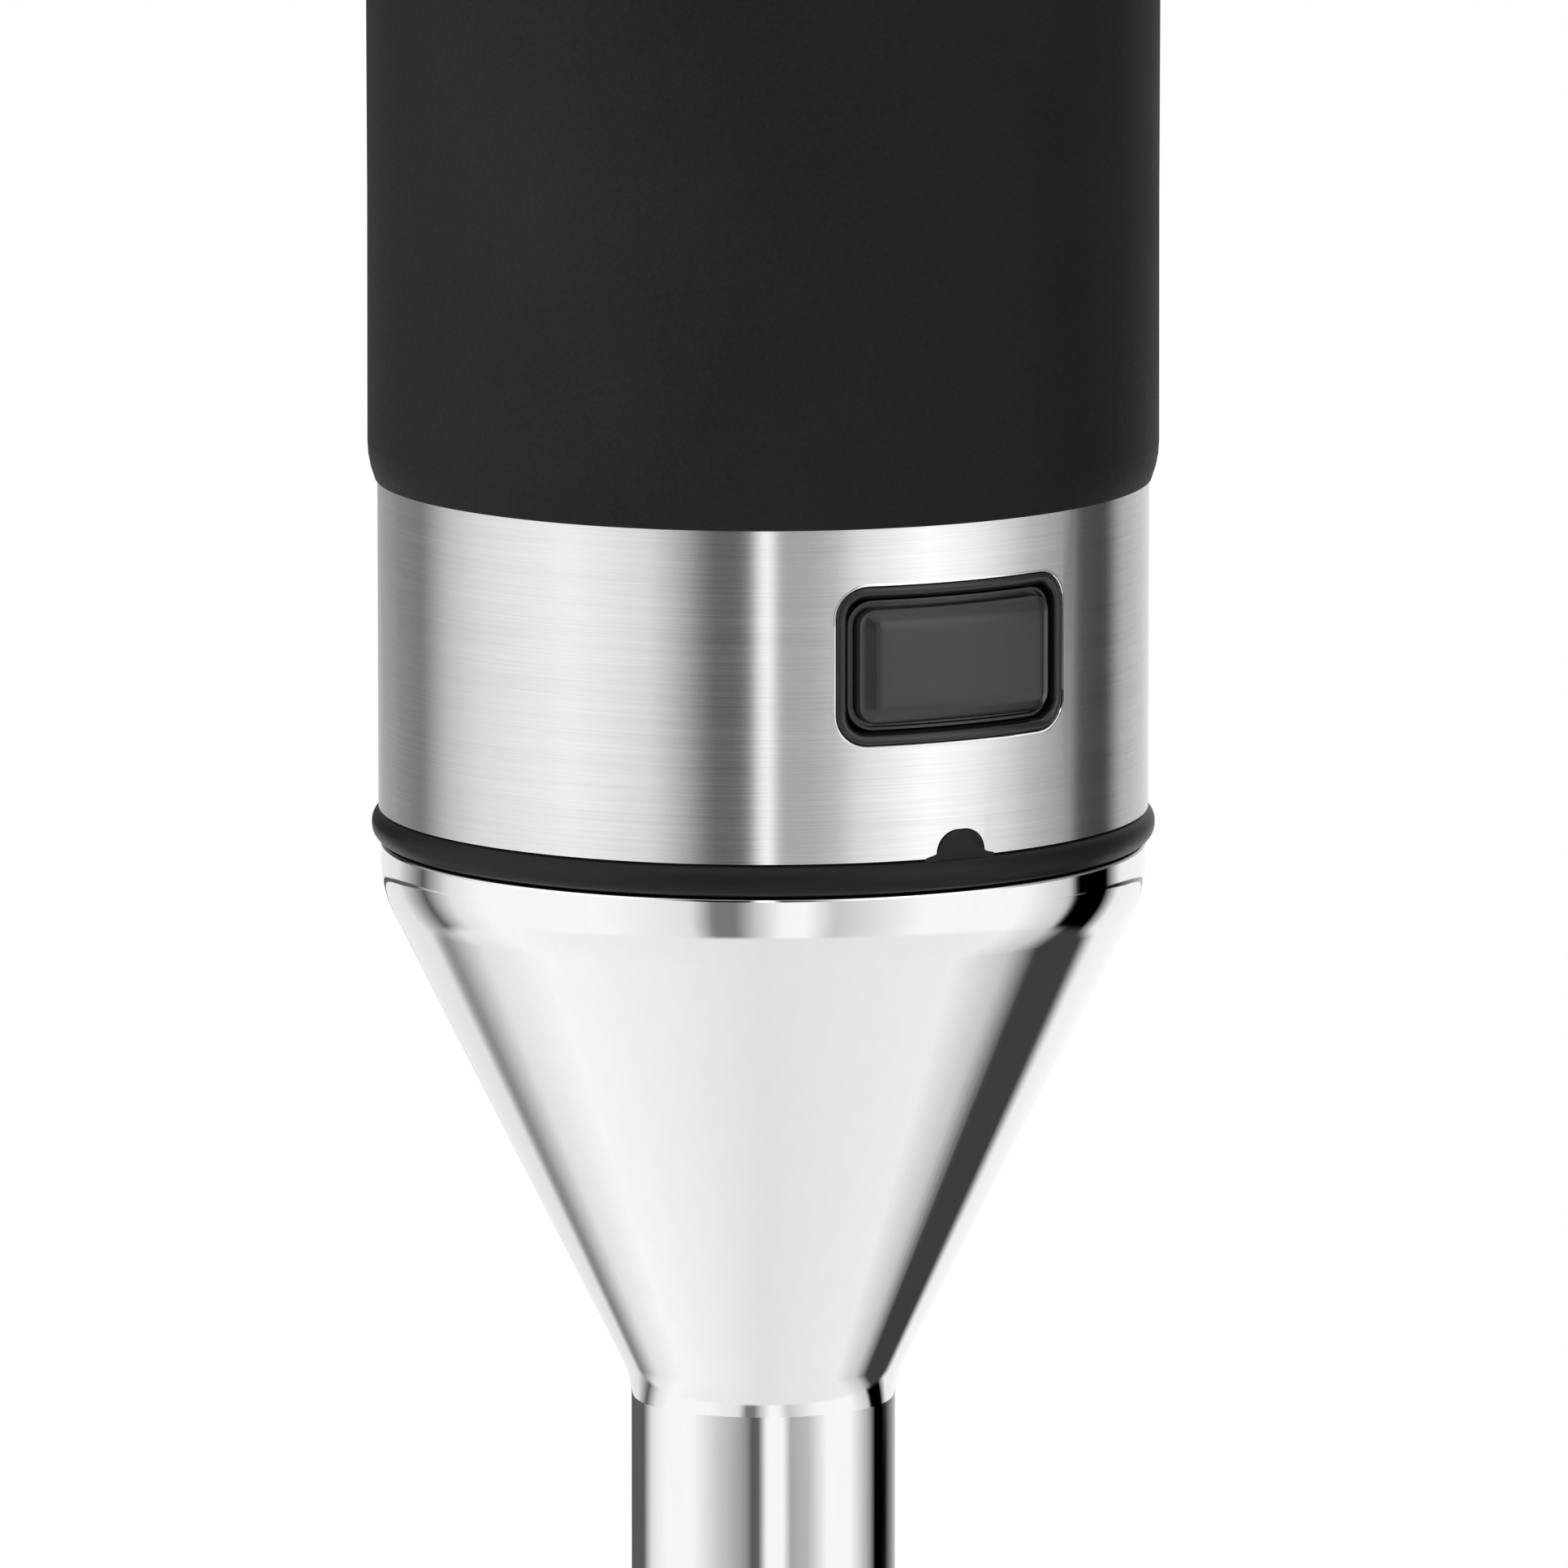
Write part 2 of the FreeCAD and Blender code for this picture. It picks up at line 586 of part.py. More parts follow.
def collar_liner():
    """Moulded socket: an outer wall inside the collar, an inner wall round the foot's plug and a roof."""
    wall = ring(liner_radius, liner_inner, collar_low, roof_high)
    floor = ring(liner_radius, socket_radius, collar_low, collar_low + 2.6)
    socket = ring(socket_outer, socket_radius, collar_low, socket_top)
    roof = ring(liner_inner + 0.1, roof_hole, roof_low, roof_high)
    rails = [box(s * RAIL_OUT if s < 0 else RAIL_IN, -RAIL_IN if s < 0 else RAIL_OUT, -14, 14,
                 plate_high + 0.2, roof_low + 0.1) for s in (-1, 1)]
    mark = mark_prism(FIT).common(
        ring(COLLAR_RADIUS - mark_depth, liner_inner + 0.1, collar_low, collar_high))
    body = joined(wall, floor, socket, roof, mark, *rails)
    opening = front_prism(WINDOW_WIDTH + 2 * FLANGE_RIM + 2 * FIT, WINDOW_HEIGHT + 2 * FLANGE_RIM + 2 * FIT,
                          WINDOW_CORNER + FLANGE_RIM, window_z, near=plug_radius - RELEASE_TRAVEL)
    spring_slot = box(-3.0, 3.0, 0, liner_inner - 0.1, spring_z - SPRING_RADIUS - 0.5, socket_top + 1)
    screws = spin_copies(disc(1.6, roof_low - 1, roof_high + 1, 0, SCREW_CIRCLE), 3, SCREW_TURN)
    return body.cut([opening, spring_slot, tie_groove(FIT)] + screws)


def seal_ring():
    """Rubber ring between the collar and the foot, bulging a little past both."""
    outer = COLLAR_RADIUS + SEAL_BULGE
    inner = socket_radius + 0.5
    bulge = SEAL_HEIGHT / 2 * 0.93
    body = lathe((inner, seal_low), (outer, seal_low, bulge), (outer, collar_low, bulge), (inner, collar_low))
    return joined(body, tie_groove(-FIT))


# ================================================================ release button and latch
opening_width = WINDOW_WIDTH - 2 * FIT - 2 * BEZEL_RIM
opening_height = WINDOW_HEIGHT - 2 * FIT - 2 * BEZEL_RIM
opening_corner = WINDOW_CORNER - BEZEL_RIM
pad_width = opening_width - 2 * BUTTON_GAP
pad_height = opening_height - 2 * BUTTON_GAP
button_back = plug_radius + RELEASE_TRAVEL + PLAY
button_floor = COLLAR_RADIUS - 0.95


def release_bezel():
    """Frame round the button, flush with the collar and held behind it by a flange."""
    rim = 2 * FLANGE_RIM
    flange = ring(liner_radius - FIT, liner_inner, window_z - FAR, window_z + FAR).common(
        front_prism(WINDOW_WIDTH + rim, WINDOW_HEIGHT + rim, WINDOW_CORNER + FLANGE_RIM, window_z))
    frame = ring(COLLAR_RADIUS + FIT, liner_inner - 0.5, window_z - FAR, window_z + FAR).common(
        front_prism(WINDOW_WIDTH - 2 * FIT, WINDOW_HEIGHT - 2 * FIT, WINDOW_CORNER, window_z))
    return joined(flange, frame).cut(front_prism(opening_width, opening_height, opening_corner, window_z))


def release_button():
    """Raised pad on a plate that slides in the bezel."""
    plate = ring(button_floor, button_back, window_z - FAR, window_z + FAR).common(
        front_prism(opening_width - 2 * SLIDE, opening_height - 2 * SLIDE, opening_corner, window_z))
    face = COLLAR_RADIUS + BUTTON_PROUD
    pad = front_prism(pad_width, pad_height, 1.3, window_z, near=button_floor - 0.9, far=face)
    rim = [e for e in pad.Edges if e.BoundBox.YMax < -face + 0.01]
    return joined(plate, pad.makeChamfer(BUTTON_CHAMFER, rim))


LATCH_REACH = liner_inner - 0.25
FINGER_HALF = 4.0
FINGER_WALL = 3.0
FINGER_STEP = 1.0           # the finger's shank stands this far behind its hook
SPRING_RADIUS = 2.2
SPRING_WIRE = 0.3
spring_seat = 15.0
spring_z = (plate_low + plate_high) / 2
coupling_outer = 9.5


def latch_slide():
    """Plate over the plug that the button pushes back, with a hooked finger behind the plug's catch."""
    lens = disc(LATCH_REACH, plate_low, plate_high).common(
        disc(LATCH_REACH, plate_low, plate_high, 0, -RELEASE_TRAVEL))
    front = box(-FAR, FAR, -FAR, -plug_inner, plate_low - 1, plate_high + 1)
    tongue = box(-6, 6, -FAR, -plug_inner + 1, plate_low, plate_high).common(
        disc(button_back - FIT, plate_low, plate_high))
    nose = math.sqrt((plug_inner - PLAY) ** 2 - FINGER_HALF ** 2)
    finger = box(-FINGER_HALF, FINGER_HALF, -nose + FINGER_STEP, -nose + FINGER_WALL,
                 catch_level - CATCH_HEIGHT / 2, plate_low + 0.1)
    hook = box(-FINGER_HALF, FINGER_HALF, -nose, -nose + FINGER_WALL,
               catch_level - CATCH_HEIGHT / 2, catch_level + 1.2)
    room = coupling_outer + RELEASE_TRAVEL / 2 + 0.6
    hole = disc(room, plate_low - 1, plate_high + 1, 0, -RELEASE_TRAVEL / 2)
    slot = box(-2.7, 2.7, spring_seat, FAR, plate_low - 1, plate_high + 1)
    return joined(lens.cut(front), tongue, finger, hook).cut([hole, slot])


def latch_spring():
    length = liner_inner - spring_seat - 2 * FIT
    spring = coil_spring(SPRING_RADIUS - SPRING_WIRE, SPRING_WIRE, length, 7)
    return lay_along_y(spring, 0, spring_seat + FIT, spring_z)


# ================================================================ grip, chassis and trim
frame_z = grip_high - FRAME_DROP
frame_width = KEY_WIDTH + 2 * FRAME_SIDE
frame_length = 2 * KEY_LENGTH + KEY_GAP + 2 * FRAME_END
key_pitch = KEY_LENGTH + KEY_GAP
key_levels = (frame_z - key_pitch / 2, frame_z + key_pitch / 2)
frame_floor = grip_inner + 1.2
key_flange = KEY_WIDTH + 1.6
key_flange_length = KEY_LENGTH + 1.5
key_back = grip_inner - 0.8
WELL_DEPTH = 3.1            # spring room behind a switch button
WELL_WALL = 1.0
WELL_FLOOR = 1.4
well_floor_y = key_back - WELL_DEPTH
well_width = key_flange + 4 * SLIDE
well_length = key_flange_length + 2 * SLIDE
BOARD_FRONT = 17.8
BOARD_THICKNESS = 1.6
BOARD_HALF = 20.0
RAIL_WALL = 1.6             # rail before and behind the board
RAIL_GRIP = 1.5             # rail over the board's edge
board_back = -BOARD_FRONT + BOARD_THICKNESS


def grip_sleeve():
    """Soft-touch sleeve, rolled in at its lower edge, with a stepped window for the switch frame."""
    edge = collar_high + 3.0
    lip = COLLAR_RADIUS + 0.25
    tuck = collar_high + COLLAR_TUCK + 0.2
    roll_mid = Vector(grip_radius_at(edge) - 0.14, 0, collar_high + 1.55)
    roll = Part.Arc(Vector(lip, 0, collar_high), roll_mid, Vector(grip_radius_at(edge), 0, edge)).toShape()
    side = grip_arc(edge, grip_high)
    bore = COLLAR_RADIUS + FIT
    profile = [(top_radius, grip_high), (grip_inner, grip_high), (grip_inner, tuck), (bore, tuck),
               (bore, collar_high), (lip, collar_high)]
    corners = [Vector(r, 0, z) for r, z in profile]
    lines = [Part.LineSegment(a, b).toShape() for a, b in zip(corners, corners[1:])]
    sleeve = Part.Face(Part.Wire([roll, side] + lines)).revolve(Vector(0, 0, 0), Vector(0, 0, 1), 360)
    pocket = front_prism(frame_width + 2 * FIT, frame_length + 2 * FIT, frame_width / 2, frame_z).cut(
        disc(frame_floor - FIT, grip_high - FAR * 2, grip_high + 1))
    through = front_prism(frame_width - 3, frame_length - 3, frame_width / 2 - 1.5, frame_z)
    return sleeve.cut([pocket, through])


def switch_well(level):
    """Block of chassis behind one switch button, before its hollow is cut."""
    block = front_prism(well_width + 2 * WELL_WALL, well_length + 2 * WELL_WALL, WELL_WALL, level,
                        near=well_floor_y - WELL_FLOOR)
    return block.common(disc(chassis_radius, chassis_low, chassis_high))


def switch_hollow(level):
    """Room for one switch button's flange and its spring."""
    return front_prism(well_width, well_length, WELL_WALL, level, near=well_floor_y)


def chassis_tube():
    """Tube that carries the motor, the board and the switch wells, before it is split."""
    tube = ring(chassis_radius, chassis_inner, chassis_low, chassis_high)
    floor = ring(chassis_inner + 0.1, roof_hole - 0.5, chassis_low, chassis_low + CHASSIS_FLOOR)
    ribs = []
    for low in damper_levels:
        for z in (low - RIB - 0.1, low + DAMPER_HEIGHT + 0.1):
            ribs.append(ring(chassis_inner + 0.1, motor_radius + 0.4, z, z + RIB))
    posts = [box(x0, x1, -8, 8, z - 1.2, z + 1.2).common(disc(chassis_inner + 0.1, z - 2, z + 2))
             for z in chassis_screw_levels for x0, x1 in ((-FAR, -screw_x), (screw_x, FAR))]
    posts += [side_rod(POST_RADIUS, x, z, -8, 8) for z in chassis_screw_levels for x in (-screw_x, screw_x)]
    seats = spin_copies(disc(3.0, chassis_low, motor_low - 0.1, 0, SCREW_CIRCLE), 3, SCREW_TURN)
    rails = []
    for x0, x1 in ((-FAR, -BOARD_HALF + RAIL_GRIP), (BOARD_HALF - RAIL_GRIP, FAR)):
        rail = box(x0, x1, -BOARD_FRONT - RAIL_WALL, board_back + RAIL_WALL, board_low, chassis_high)
        rails.append(rail.common(disc(chassis_inner + 0.1, board_low, chassis_high)))
    wells = [switch_well(z) for z in key_levels]
    body = joined(tube, floor, *ribs, *posts, *seats, *rails, *wells)
    groove = box(-BOARD_HALF - FIT, BOARD_HALF + FIT, -BOARD_FRONT - FIT, board_back + FIT,
                 board_low - FIT, chassis_high + 1)
    pilots = [side_rod(SCREW_SHANK + FIT, x, z, -6.2, 9)
              for z in chassis_screw_levels for x in (-screw_x, screw_x)]
    base_pilots = spin_copies(disc(SCREW_SHANK + FIT, chassis_low - 1, chassis_low + 5.5, 0, SCREW_CIRCLE),
                              3, SCREW_TURN)
    stems = [side_rod(STEM_RADIUS + SLIDE, 0, z, -FAR, -BOARD_FRONT - 2) for z in key_levels]
    hollows = [switch_hollow(z) for z in key_levels]
    gland_room = disc(GLAND_WALL + CORD_RADIUS + 2.4, board_low, chassis_high + 1, 0, gland_offset)
    return body.cut([groove, gland_room] + pilots + base_pilots + stems + hollows)


RIB = 1.5
DAMPER_HEIGHT = 4.0
damper_levels = (motor_low + 3.0, commutator_high - 2.0)
POST_RADIUS = 3.0
SCREW_SHANK = 1.25
STEM_RADIUS = 2.2
screw_x = chassis_inner - 5.9
chassis_screw_levels = (board_low + 4.0, chassis_high - 8.5)


def chassis_half(front):
    """Front or rear half of the chassis, split on the plane of its screws."""
    side = -1 if front else 1
    low, high = (-FAR, -0.05) if side < 0 else (0.05, FAR)
    return chassis_tube().common(box(-FAR, FAR, low, high, chassis_low - 1, chassis_high + 1))


def chassis_screws():
    """Four screws that close the chassis, put in from the rear."""
    made = []
    for z in chassis_screw_levels:
        for x in (-screw_x, screw_x):
            one = screw(2.6, 1.6, SCREW_SHANK, 13.8)
            one.rotate(Vector(0, 0, 0), Vector(1, 0, 0), 90)
            made.append(moved(one, x, 8.0, z))
    return Part.makeCompound(made)


def collar_screws():
    """Three screws up through the socket's roof into the chassis."""
    one = moved(screw(2.6, 1.6, SCREW_SHANK, roof_high - roof_low + 5.0), 0, SCREW_CIRCLE, roof_low)
    return Part.makeCompound(spin_copies(one, 3, SCREW_TURN))


def damper(low):
    """Rubber ring between the motor and the chassis."""
    return ring(chassis_inner - FIT, motor_radius + FIT, low, low + DAMPER_HEIGHT)


def top_ring():
    """Steel trim ring between the grip and the cap."""
    return lathe((grip_inner, grip_high), (top_radius, grip_high, 0.3), (top_radius, trim_high, 0.3),
                 (grip_inner, trim_high))


POCKET_GAP = 1.0
pocket_radius = DIAL_RADIUS + POCKET_GAP
pocket_floor = trim_high + 0.2
POCKET_WALL = 2.0
gland_radius = CORD_RADIUS + GLAND_WALL
BOSS_WALL = 1.6
gland_offset = top_radius - GLAND_MARGIN - GLAND_RIM - gland_radius
dial_offset = pocket_radius - (gland_offset - gland_radius - BOSS_WALL) + DIAL_MARGIN
TONGUE_HALF = 8.5
CLAMP_LENGTH = 11.0
clamp_high = trim_high - 7.2
clamp_low = clamp_high - CLAMP_LENGTH
CLAMP_BITE = 0.3            # the clamp squeezes the cord by this much
VENT_COUNT = 6
VENT_PITCH = 3.2
VENT_WIDTH = 1.6
VENT_IN, VENT_OUT = 21.8, 27.5
CAP_SKIRT = 11.0            # what reaches down inside the grip
CAP_CROWN = 0.8
CLAMP_NEAR, CLAMP_FAR = 0.5, 4.7        # strap and tongue, from the cord's axis


def top_cap():
    """Domed cap with the dial's pocket, the cord's boss, a clamp tongue and vent slots."""
    skirt = grip_inner - FIT
    skirt_in = skirt - CAP_WALL
    skirt_low = trim_high - CAP_SKIRT
    edge, roof = cap_high - CAP_CROWN, cap_high - CAP_WALL
    wall = top_radius - CAP_WALL
    shell = lathe((skirt_in, skirt_low), (skirt, skirt_low), (skirt, trim_high),
                  (top_radius, trim_high), (top_radius, edge, CAP_SHOULDER), (0, cap_high),
                  (0, roof), (wall, roof - CAP_CROWN, CAP_SHOULDER - CAP_WALL),
                  (wall, trim_high + CAP_WALL), (skirt_in, trim_high + CAP_WALL - 1))
    pocket = disc(pocket_radius + POCKET_WALL, pocket_floor - CAP_WALL, cap_high - 1, 0, -dial_offset)
    boss = disc(gland_radius + BOSS_WALL, clamp_high, cap_high - 1, 0, gland_offset)
    tongue = box(-TONGUE_HALF, TONGUE_HALF, gland_offset + CLAMP_NEAR, gland_offset + CLAMP_FAR,
                 clamp_low, clamp_high + 0.1)
    room = disc(skirt, 0, trim_high).fuse(disc(top_radius - 1, trim_high, cap_high))
    body = joined(shell, pocket.common(room), boss, tongue)
    hollow = disc(pocket_radius, pocket_floor, cap_high + 5, 0, -dial_offset)
    shaft_hole = disc(pot_bush + FIT, pocket_floor - FAR, cap_high, 0, -dial_offset)
    cord_hole = disc(gland_radius + FIT, clamp_high - 1, cap_high + 5, 0, gland_offset)
    channel = disc(CORD_RADIUS - CLAMP_BITE, clamp_low - 1, clamp_high + 1, 0, gland_offset)
    pilots = [side_rod(SCREW_SHANK + FIT, x, z, gland_offset, gland_offset + 4.2)
              for x, z in clamp_screw_places]
    vents = []
    for i in range(VENT_COUNT):
        y = VENT_PITCH * (i - (VENT_COUNT - 1) / 2)
        for x0, x1 in ((-VENT_OUT, -VENT_IN), (VENT_IN, VENT_OUT)):
            vents.append(box(x0, x1, y - VENT_WIDTH / 2, y + VENT_WIDTH / 2, trim_high + 4, cap_high + 1))
    return body.cut([hollow, shaft_hole, cord_hole, channel] + pilots + vents)


clamp_screw_places = [(-6.1, (clamp_low + clamp_high) / 2), (6.1, (clamp_low + clamp_high) / 2)]


def cord_gland():
    """Bush that lines the cord's way through the cap, with a rounded flange on top."""
    flange = 1.4
    rim = gland_radius + GLAND_RIM
    low, seat, top = clamp_high + 0.5, cap_high + FIT, cap_high + flange
    body = lathe((CORD_RADIUS, low), (gland_radius, low), (gland_radius, seat), (rim, seat), (rim, top, 0.9),
                 (CORD_RADIUS, top, 0.4))
    return moved(body, y=gland_offset)


def cable_clamp():
    """Strap that grips the cord against the cap's tongue."""
    strap = box(-TONGUE_HALF, TONGUE_HALF, gland_offset - CLAMP_FAR, gland_offset - CLAMP_NEAR,
                clamp_low, clamp_high - 0.5)
    channel = disc(CORD_RADIUS - CLAMP_BITE, clamp_low - 1, clamp_high + 1, 0, gland_offset)
    holes = [side_rod(SCREW_SHANK + FIT, x, z, gland_offset - FAR, gland_offset)
             for x, z in clamp_screw_places]
    return strap.cut([channel] + holes)


def clamp_screws():
    made = []
    for x, z in clamp_screw_places:
        made.append(lay_along_y(screw(2.2, 1.5, SCREW_SHANK, 8.6), x, gland_offset - CLAMP_FAR, z))
    return Part.makeCompound(made)


# ================================================================ speed dial
pot_bush = SHAFT_RADIUS + 0.9
POT_RADIUS = 8.5
POT_HEIGHT = 7.8
HUB_WALL = 2.2
dial_low = pocket_floor + 0.9
dial_high = dial_low + DIAL_HEIGHT
pot_high = pocket_floor - CAP_WALL - FIT
INLAY_RADIUS = 12.4
INLAY_THICKNESS = 0.8


def speed_dial():
    """Ribbed knob, hollow below, on the potentiometer's shaft."""
    wall = 2.2
    outer = DIAL_RADIUS - 0.6
    knob = lathe((0, dial_low), (outer, dial_low), (outer, dial_high, 1.6), (0, dial_high))
    rib = disc(0.75, dial_low, dial_high - 2.6, outer - 0.15, 0)
    shell = joined(knob, *spin_copies(rib, DIAL_RIBS))
    hollow = ring(outer - wall, SHAFT_RADIUS + HUB_WALL, dial_low - 1, dial_high - 3.2)
    bore = disc(SHAFT_RADIUS + 0.02, dial_low - 1, dial_high - 4)
    clearance = disc(SHAFT_RADIUS + HUB_WALL + 0.1, dial_low - 1, dial_low + 1.6)
    seat = disc(INLAY_RADIUS + FIT, dial_high - INLAY_THICKNESS + 0.1, dial_high + 1)
    return moved(shell.cut([hollow, bore, clearance, seat]), y=-dial_offset)


def dial_inlay():
    """Steel disc let into the top of the dial, with a pointer slot."""
    low = dial_high - INLAY_THICKNESS + 0.1
    plate = lathe((0, low), (INLAY_RADIUS, low), (INLAY_RADIUS, low + INLAY_THICKNESS, 0.25),
                  (0, low + INLAY_THICKNESS))
    pointer = box(-0.6, 0.6, -INLAY_RADIUS + 1.2, -INLAY_RADIUS + 6.2, low + 0.4, dial_high + 1)
    return moved(plate.cut(pointer), y=-dial_offset)


def potentiometer():
    """Round control body under the pocket, its bush through the cap and a nut on top."""
    body = disc(POT_RADIUS, pot_high - POT_HEIGHT, pot_high)
    bush_up = disc(pot_bush, pot_high - 1, pocket_floor + 1.4)
    nut = hexagon(2 * pot_bush + 1.6, pocket_floor + FIT, pocket_floor + 1.2)
    shaft_way = disc(SHAFT_RADIUS + RUN, pot_high - POT_HEIGHT + 1.5, dial_high)
    return moved(joined(body, bush_up, nut).cut(shaft_way), y=-dial_offset)


def pot_shaft():
    return moved(disc(SHAFT_RADIUS, pot_high - POT_HEIGHT + 1.8, dial_high - 4.2), y=-dial_offset)


# ================================================================ switches and board
def button_frame():
    """Steel inlay let into the grip, with a hole for each switch button."""
    low, high = frame_z - frame_length / 2 - 1, frame_z + frame_length / 2 + 1
    plate = grip_core(0.25, low, high).cut(disc(frame_floor, low - 1, high + 1)).common(
        front_prism(frame_width, frame_length, frame_width / 2, frame_z))
    return plate.cut([front_prism(KEY_WIDTH, KEY_LENGTH, KEY_CORNER, z) for z in key_levels])


def switch_button(level):
    """Push button: a cap through the frame, a flange behind it and a stem to the switch."""
    low, high = level - KEY_LENGTH, level + KEY_LENGTH
    cap = grip_core(KEY_PROUD, low, high).common(
        front_prism(KEY_WIDTH - 2 * SLIDE, KEY_LENGTH - 2 * SLIDE, KEY_CORNER - SLIDE, level, near=key_back))
    flange = disc(frame_floor - SLIDE, low, high).common(
        front_prism(key_flange, key_flange_length, KEY_CORNER, level, near=key_back))
    stem = side_rod(STEM_RADIUS, 0, level, -key_back - 0.5, -BOARD_FRONT - SWITCH_DEPTH - KEY_TRAVEL - 0.4)
    return joined(cap, flange, stem)


SWITCH_DEPTH = 4.7
SWITCH_HALF = 3.4


def switch_spring(level):
    spring = coil_spring(3.5, 0.2, WELL_DEPTH - 2 * FIT, 3)
    return lay_along_y(spring, 0, -key_back + FIT, level)


def micro_switches():
    """Two switch blocks soldered to the board, one behind each button."""
    made = []
    for level in key_levels:
        block = box(-SWITCH_HALF, SWITCH_HALF, -BOARD_FRONT - SWITCH_DEPTH, -BOARD_FRONT - FIT,
                    level - SWITCH_HALF, level + SWITCH_HALF)
        made.append(block.makeFillet(0.5, [e for e in block.Edges if e.BoundBox.YMax < -BOARD_FRONT - 4]))
    return Part.makeCompound(made)


def control_board():
    """Circuit board that stands in the chassis rails."""
    return box(-BOARD_HALF, BOARD_HALF, -BOARD_FRONT, board_back, board_low, board_high)


def suppressor_capacitor():
    """Block capacitor on the back of the board."""
    half, deep = 11.0, 9.0
    block = box(-half, half, board_back + FIT, board_back + deep, board_low + 3, board_low + 17)
    return block.makeFillet(1.0, [e for e in block.Edges if e.BoundBox.YMin > board_back + deep - 1])


# ================================================================ motor
def stator_core():
    """Laminated ring with two poles, slots for the coils and holes for the long bolts."""
    flat = coil_outer + 3.2
    body = disc(motor_radius - 0.8, stack_low, stack_high).common(
        box(-flat, flat, -FAR, FAR, stack_low, stack_high))
    slots = box(-coil_outer - 0.3, coil_outer + 0.3, -POLE_EDGE, POLE_EDGE, stack_low - 1, stack_high + 1)
    bolts = [disc(BOLT_RADIUS + 0.1, stack_low - 1, stack_high + 1, 0, s * bolt_circle) for s in (-1, 1)]
    return body.cut([disc(bore_radius, stack_low - 1, stack_high + 1), slots] + bolts)


POLE_EDGE = 11.0


def field_coils():
    """Two windings, each bent round one pole and bowed over both ends of the stack."""
    made = []
    for side in (-1, 1):
        y0, y1 = (0.8, FAR) if side > 0 else (-FAR, -0.8)
        side_room = box(-FAR, FAR, y0, y1, coil_low, coil_high)
        half = ring(coil_outer, coil_inner, coil_low, coil_high).common(side_room)
        p0, p1 = (POLE_EDGE - 0.3, FAR) if side > 0 else (-FAR, -POLE_EDGE + 0.3)
        made.append(half.cut(box(-FAR, FAR, p0, p1, stack_low - 0.2, stack_high + 0.2)))
    return Part.makeCompound(made)


def cup_windows(low, high):
    """Cutters for four cooling windows in a bracket's wall."""
    return spin_copies(box(12, FAR, -7, 7, low, high), 4, 45.0)


def bolt_holes(low, high):
    return [disc(BOLT_RADIUS + 0.1, low, high, 0, s * bolt_circle) for s in (-1, 1)]


def lower_bracket():
    """Cup below the stack that holds the lower bearing and shrouds the fan."""
    cup = ring(motor_radius, bracket_inner, motor_low + 3.4, stack_low - FIT)
    plate = disc(motor_radius, motor_low + 3.4, lower_plate_high)
    boss = disc(BOSS_RADIUS, motor_low, lower_plate_high)
    body = joined(cup, plate, boss)
    seat = disc(bearing_radius + FIT, motor_low + 0.6, lower_plate_high + 1)
    way = disc(SHAFT_RADIUS + 1, motor_low - 1, lower_plate_high + 1)
    return body.cut([seat, way] + cup_windows(lower_plate_high + 1.2, stack_low - 4)
                    + bolt_holes(motor_low - 1, stack_low))


def upper_bracket():
    """Cup above the stack that holds the upper bearing and the brush holders."""
    cup = ring(motor_radius, bracket_inner, stack_high + FIT, upper_plate_high)
    plate = disc(motor_radius, upper_plate_low, upper_plate_high)
    boss = disc(BOSS_RADIUS, upper_plate_low, motor_high)
    body = joined(cup, plate, boss)
    seat = disc(bearing_radius + FIT, upper_plate_low - 1, motor_high - 0.6)
    way = disc(SHAFT_RADIUS + 0.6, upper_plate_low - 1, motor_high - 0.6)
    pockets = box(-FAR, FAR, -HOLDER_HALF - FIT, HOLDER_HALF + FIT, brush_z - HOLDER_HALF - FIT,
                  brush_z + HOLDER_HALF + FIT).cut(disc(bracket_inner - 1, 0, motor_high))
    leads = [disc(LEAD_RADIUS + 0.5, upper_plate_low - 1, motor_high, x, -LEAD_Y) for x in (-LEAD_X, LEAD_X)]
    return body.cut([seat, way, pockets] + leads + cup_windows(stack_high + 3, commutator_low)
                    + bolt_holes(stack_high, upper_plate_high + 1))


HOLDER_HALF = 4.0
HOLDER_WALL = 0.9
brush_z = (commutator_low + commutator_high) / 2 + 1.0
LEAD_RADIUS = 0.9
LEAD_X, LEAD_Y = 10.5, 13.0


def bracket_bolts():
    """Two long bolts that clamp both brackets to the stack."""
    made = []
    for side in (-1, 1):
        shank = disc(BOLT_RADIUS, motor_low + 3.4, upper_plate_high + 2.2, 0, side * bolt_circle)
        head = disc(2.6, motor_low + 1.4, motor_low + 3.4 - FIT, 0, side * bolt_circle)
        nut = moved(hexagon(5.0, upper_plate_high + FIT, upper_plate_high + 2.0), y=side * bolt_circle)
        made.append(joined(shank, head, nut))
    return Part.makeCompound(made)


def motor_bearing(low, high):
    return ring(bearing_radius, SHAFT_RADIUS + RUN, low, high)


def brush_holders():
    """Brass boxes that guide the brushes, let into the upper bracket."""
    made = []
    for s in (-1, 1):
        x0, x1 = sorted((s * (COMMUTATOR_RADIUS + 2.4), s * (motor_radius - 0.4)))
        body = box(x0, x1, -HOLDER_HALF, HOLDER_HALF, brush_z - HOLDER_HALF, brush_z + HOLDER_HALF)
        inner = HOLDER_HALF - HOLDER_WALL
        a, b = sorted((s * 5.0, s * (motor_radius - 1.6)))
        made.append(body.cut(box(a, b, -inner, inner, brush_z - inner, brush_z + inner)))
    return Part.makeCompound(made)


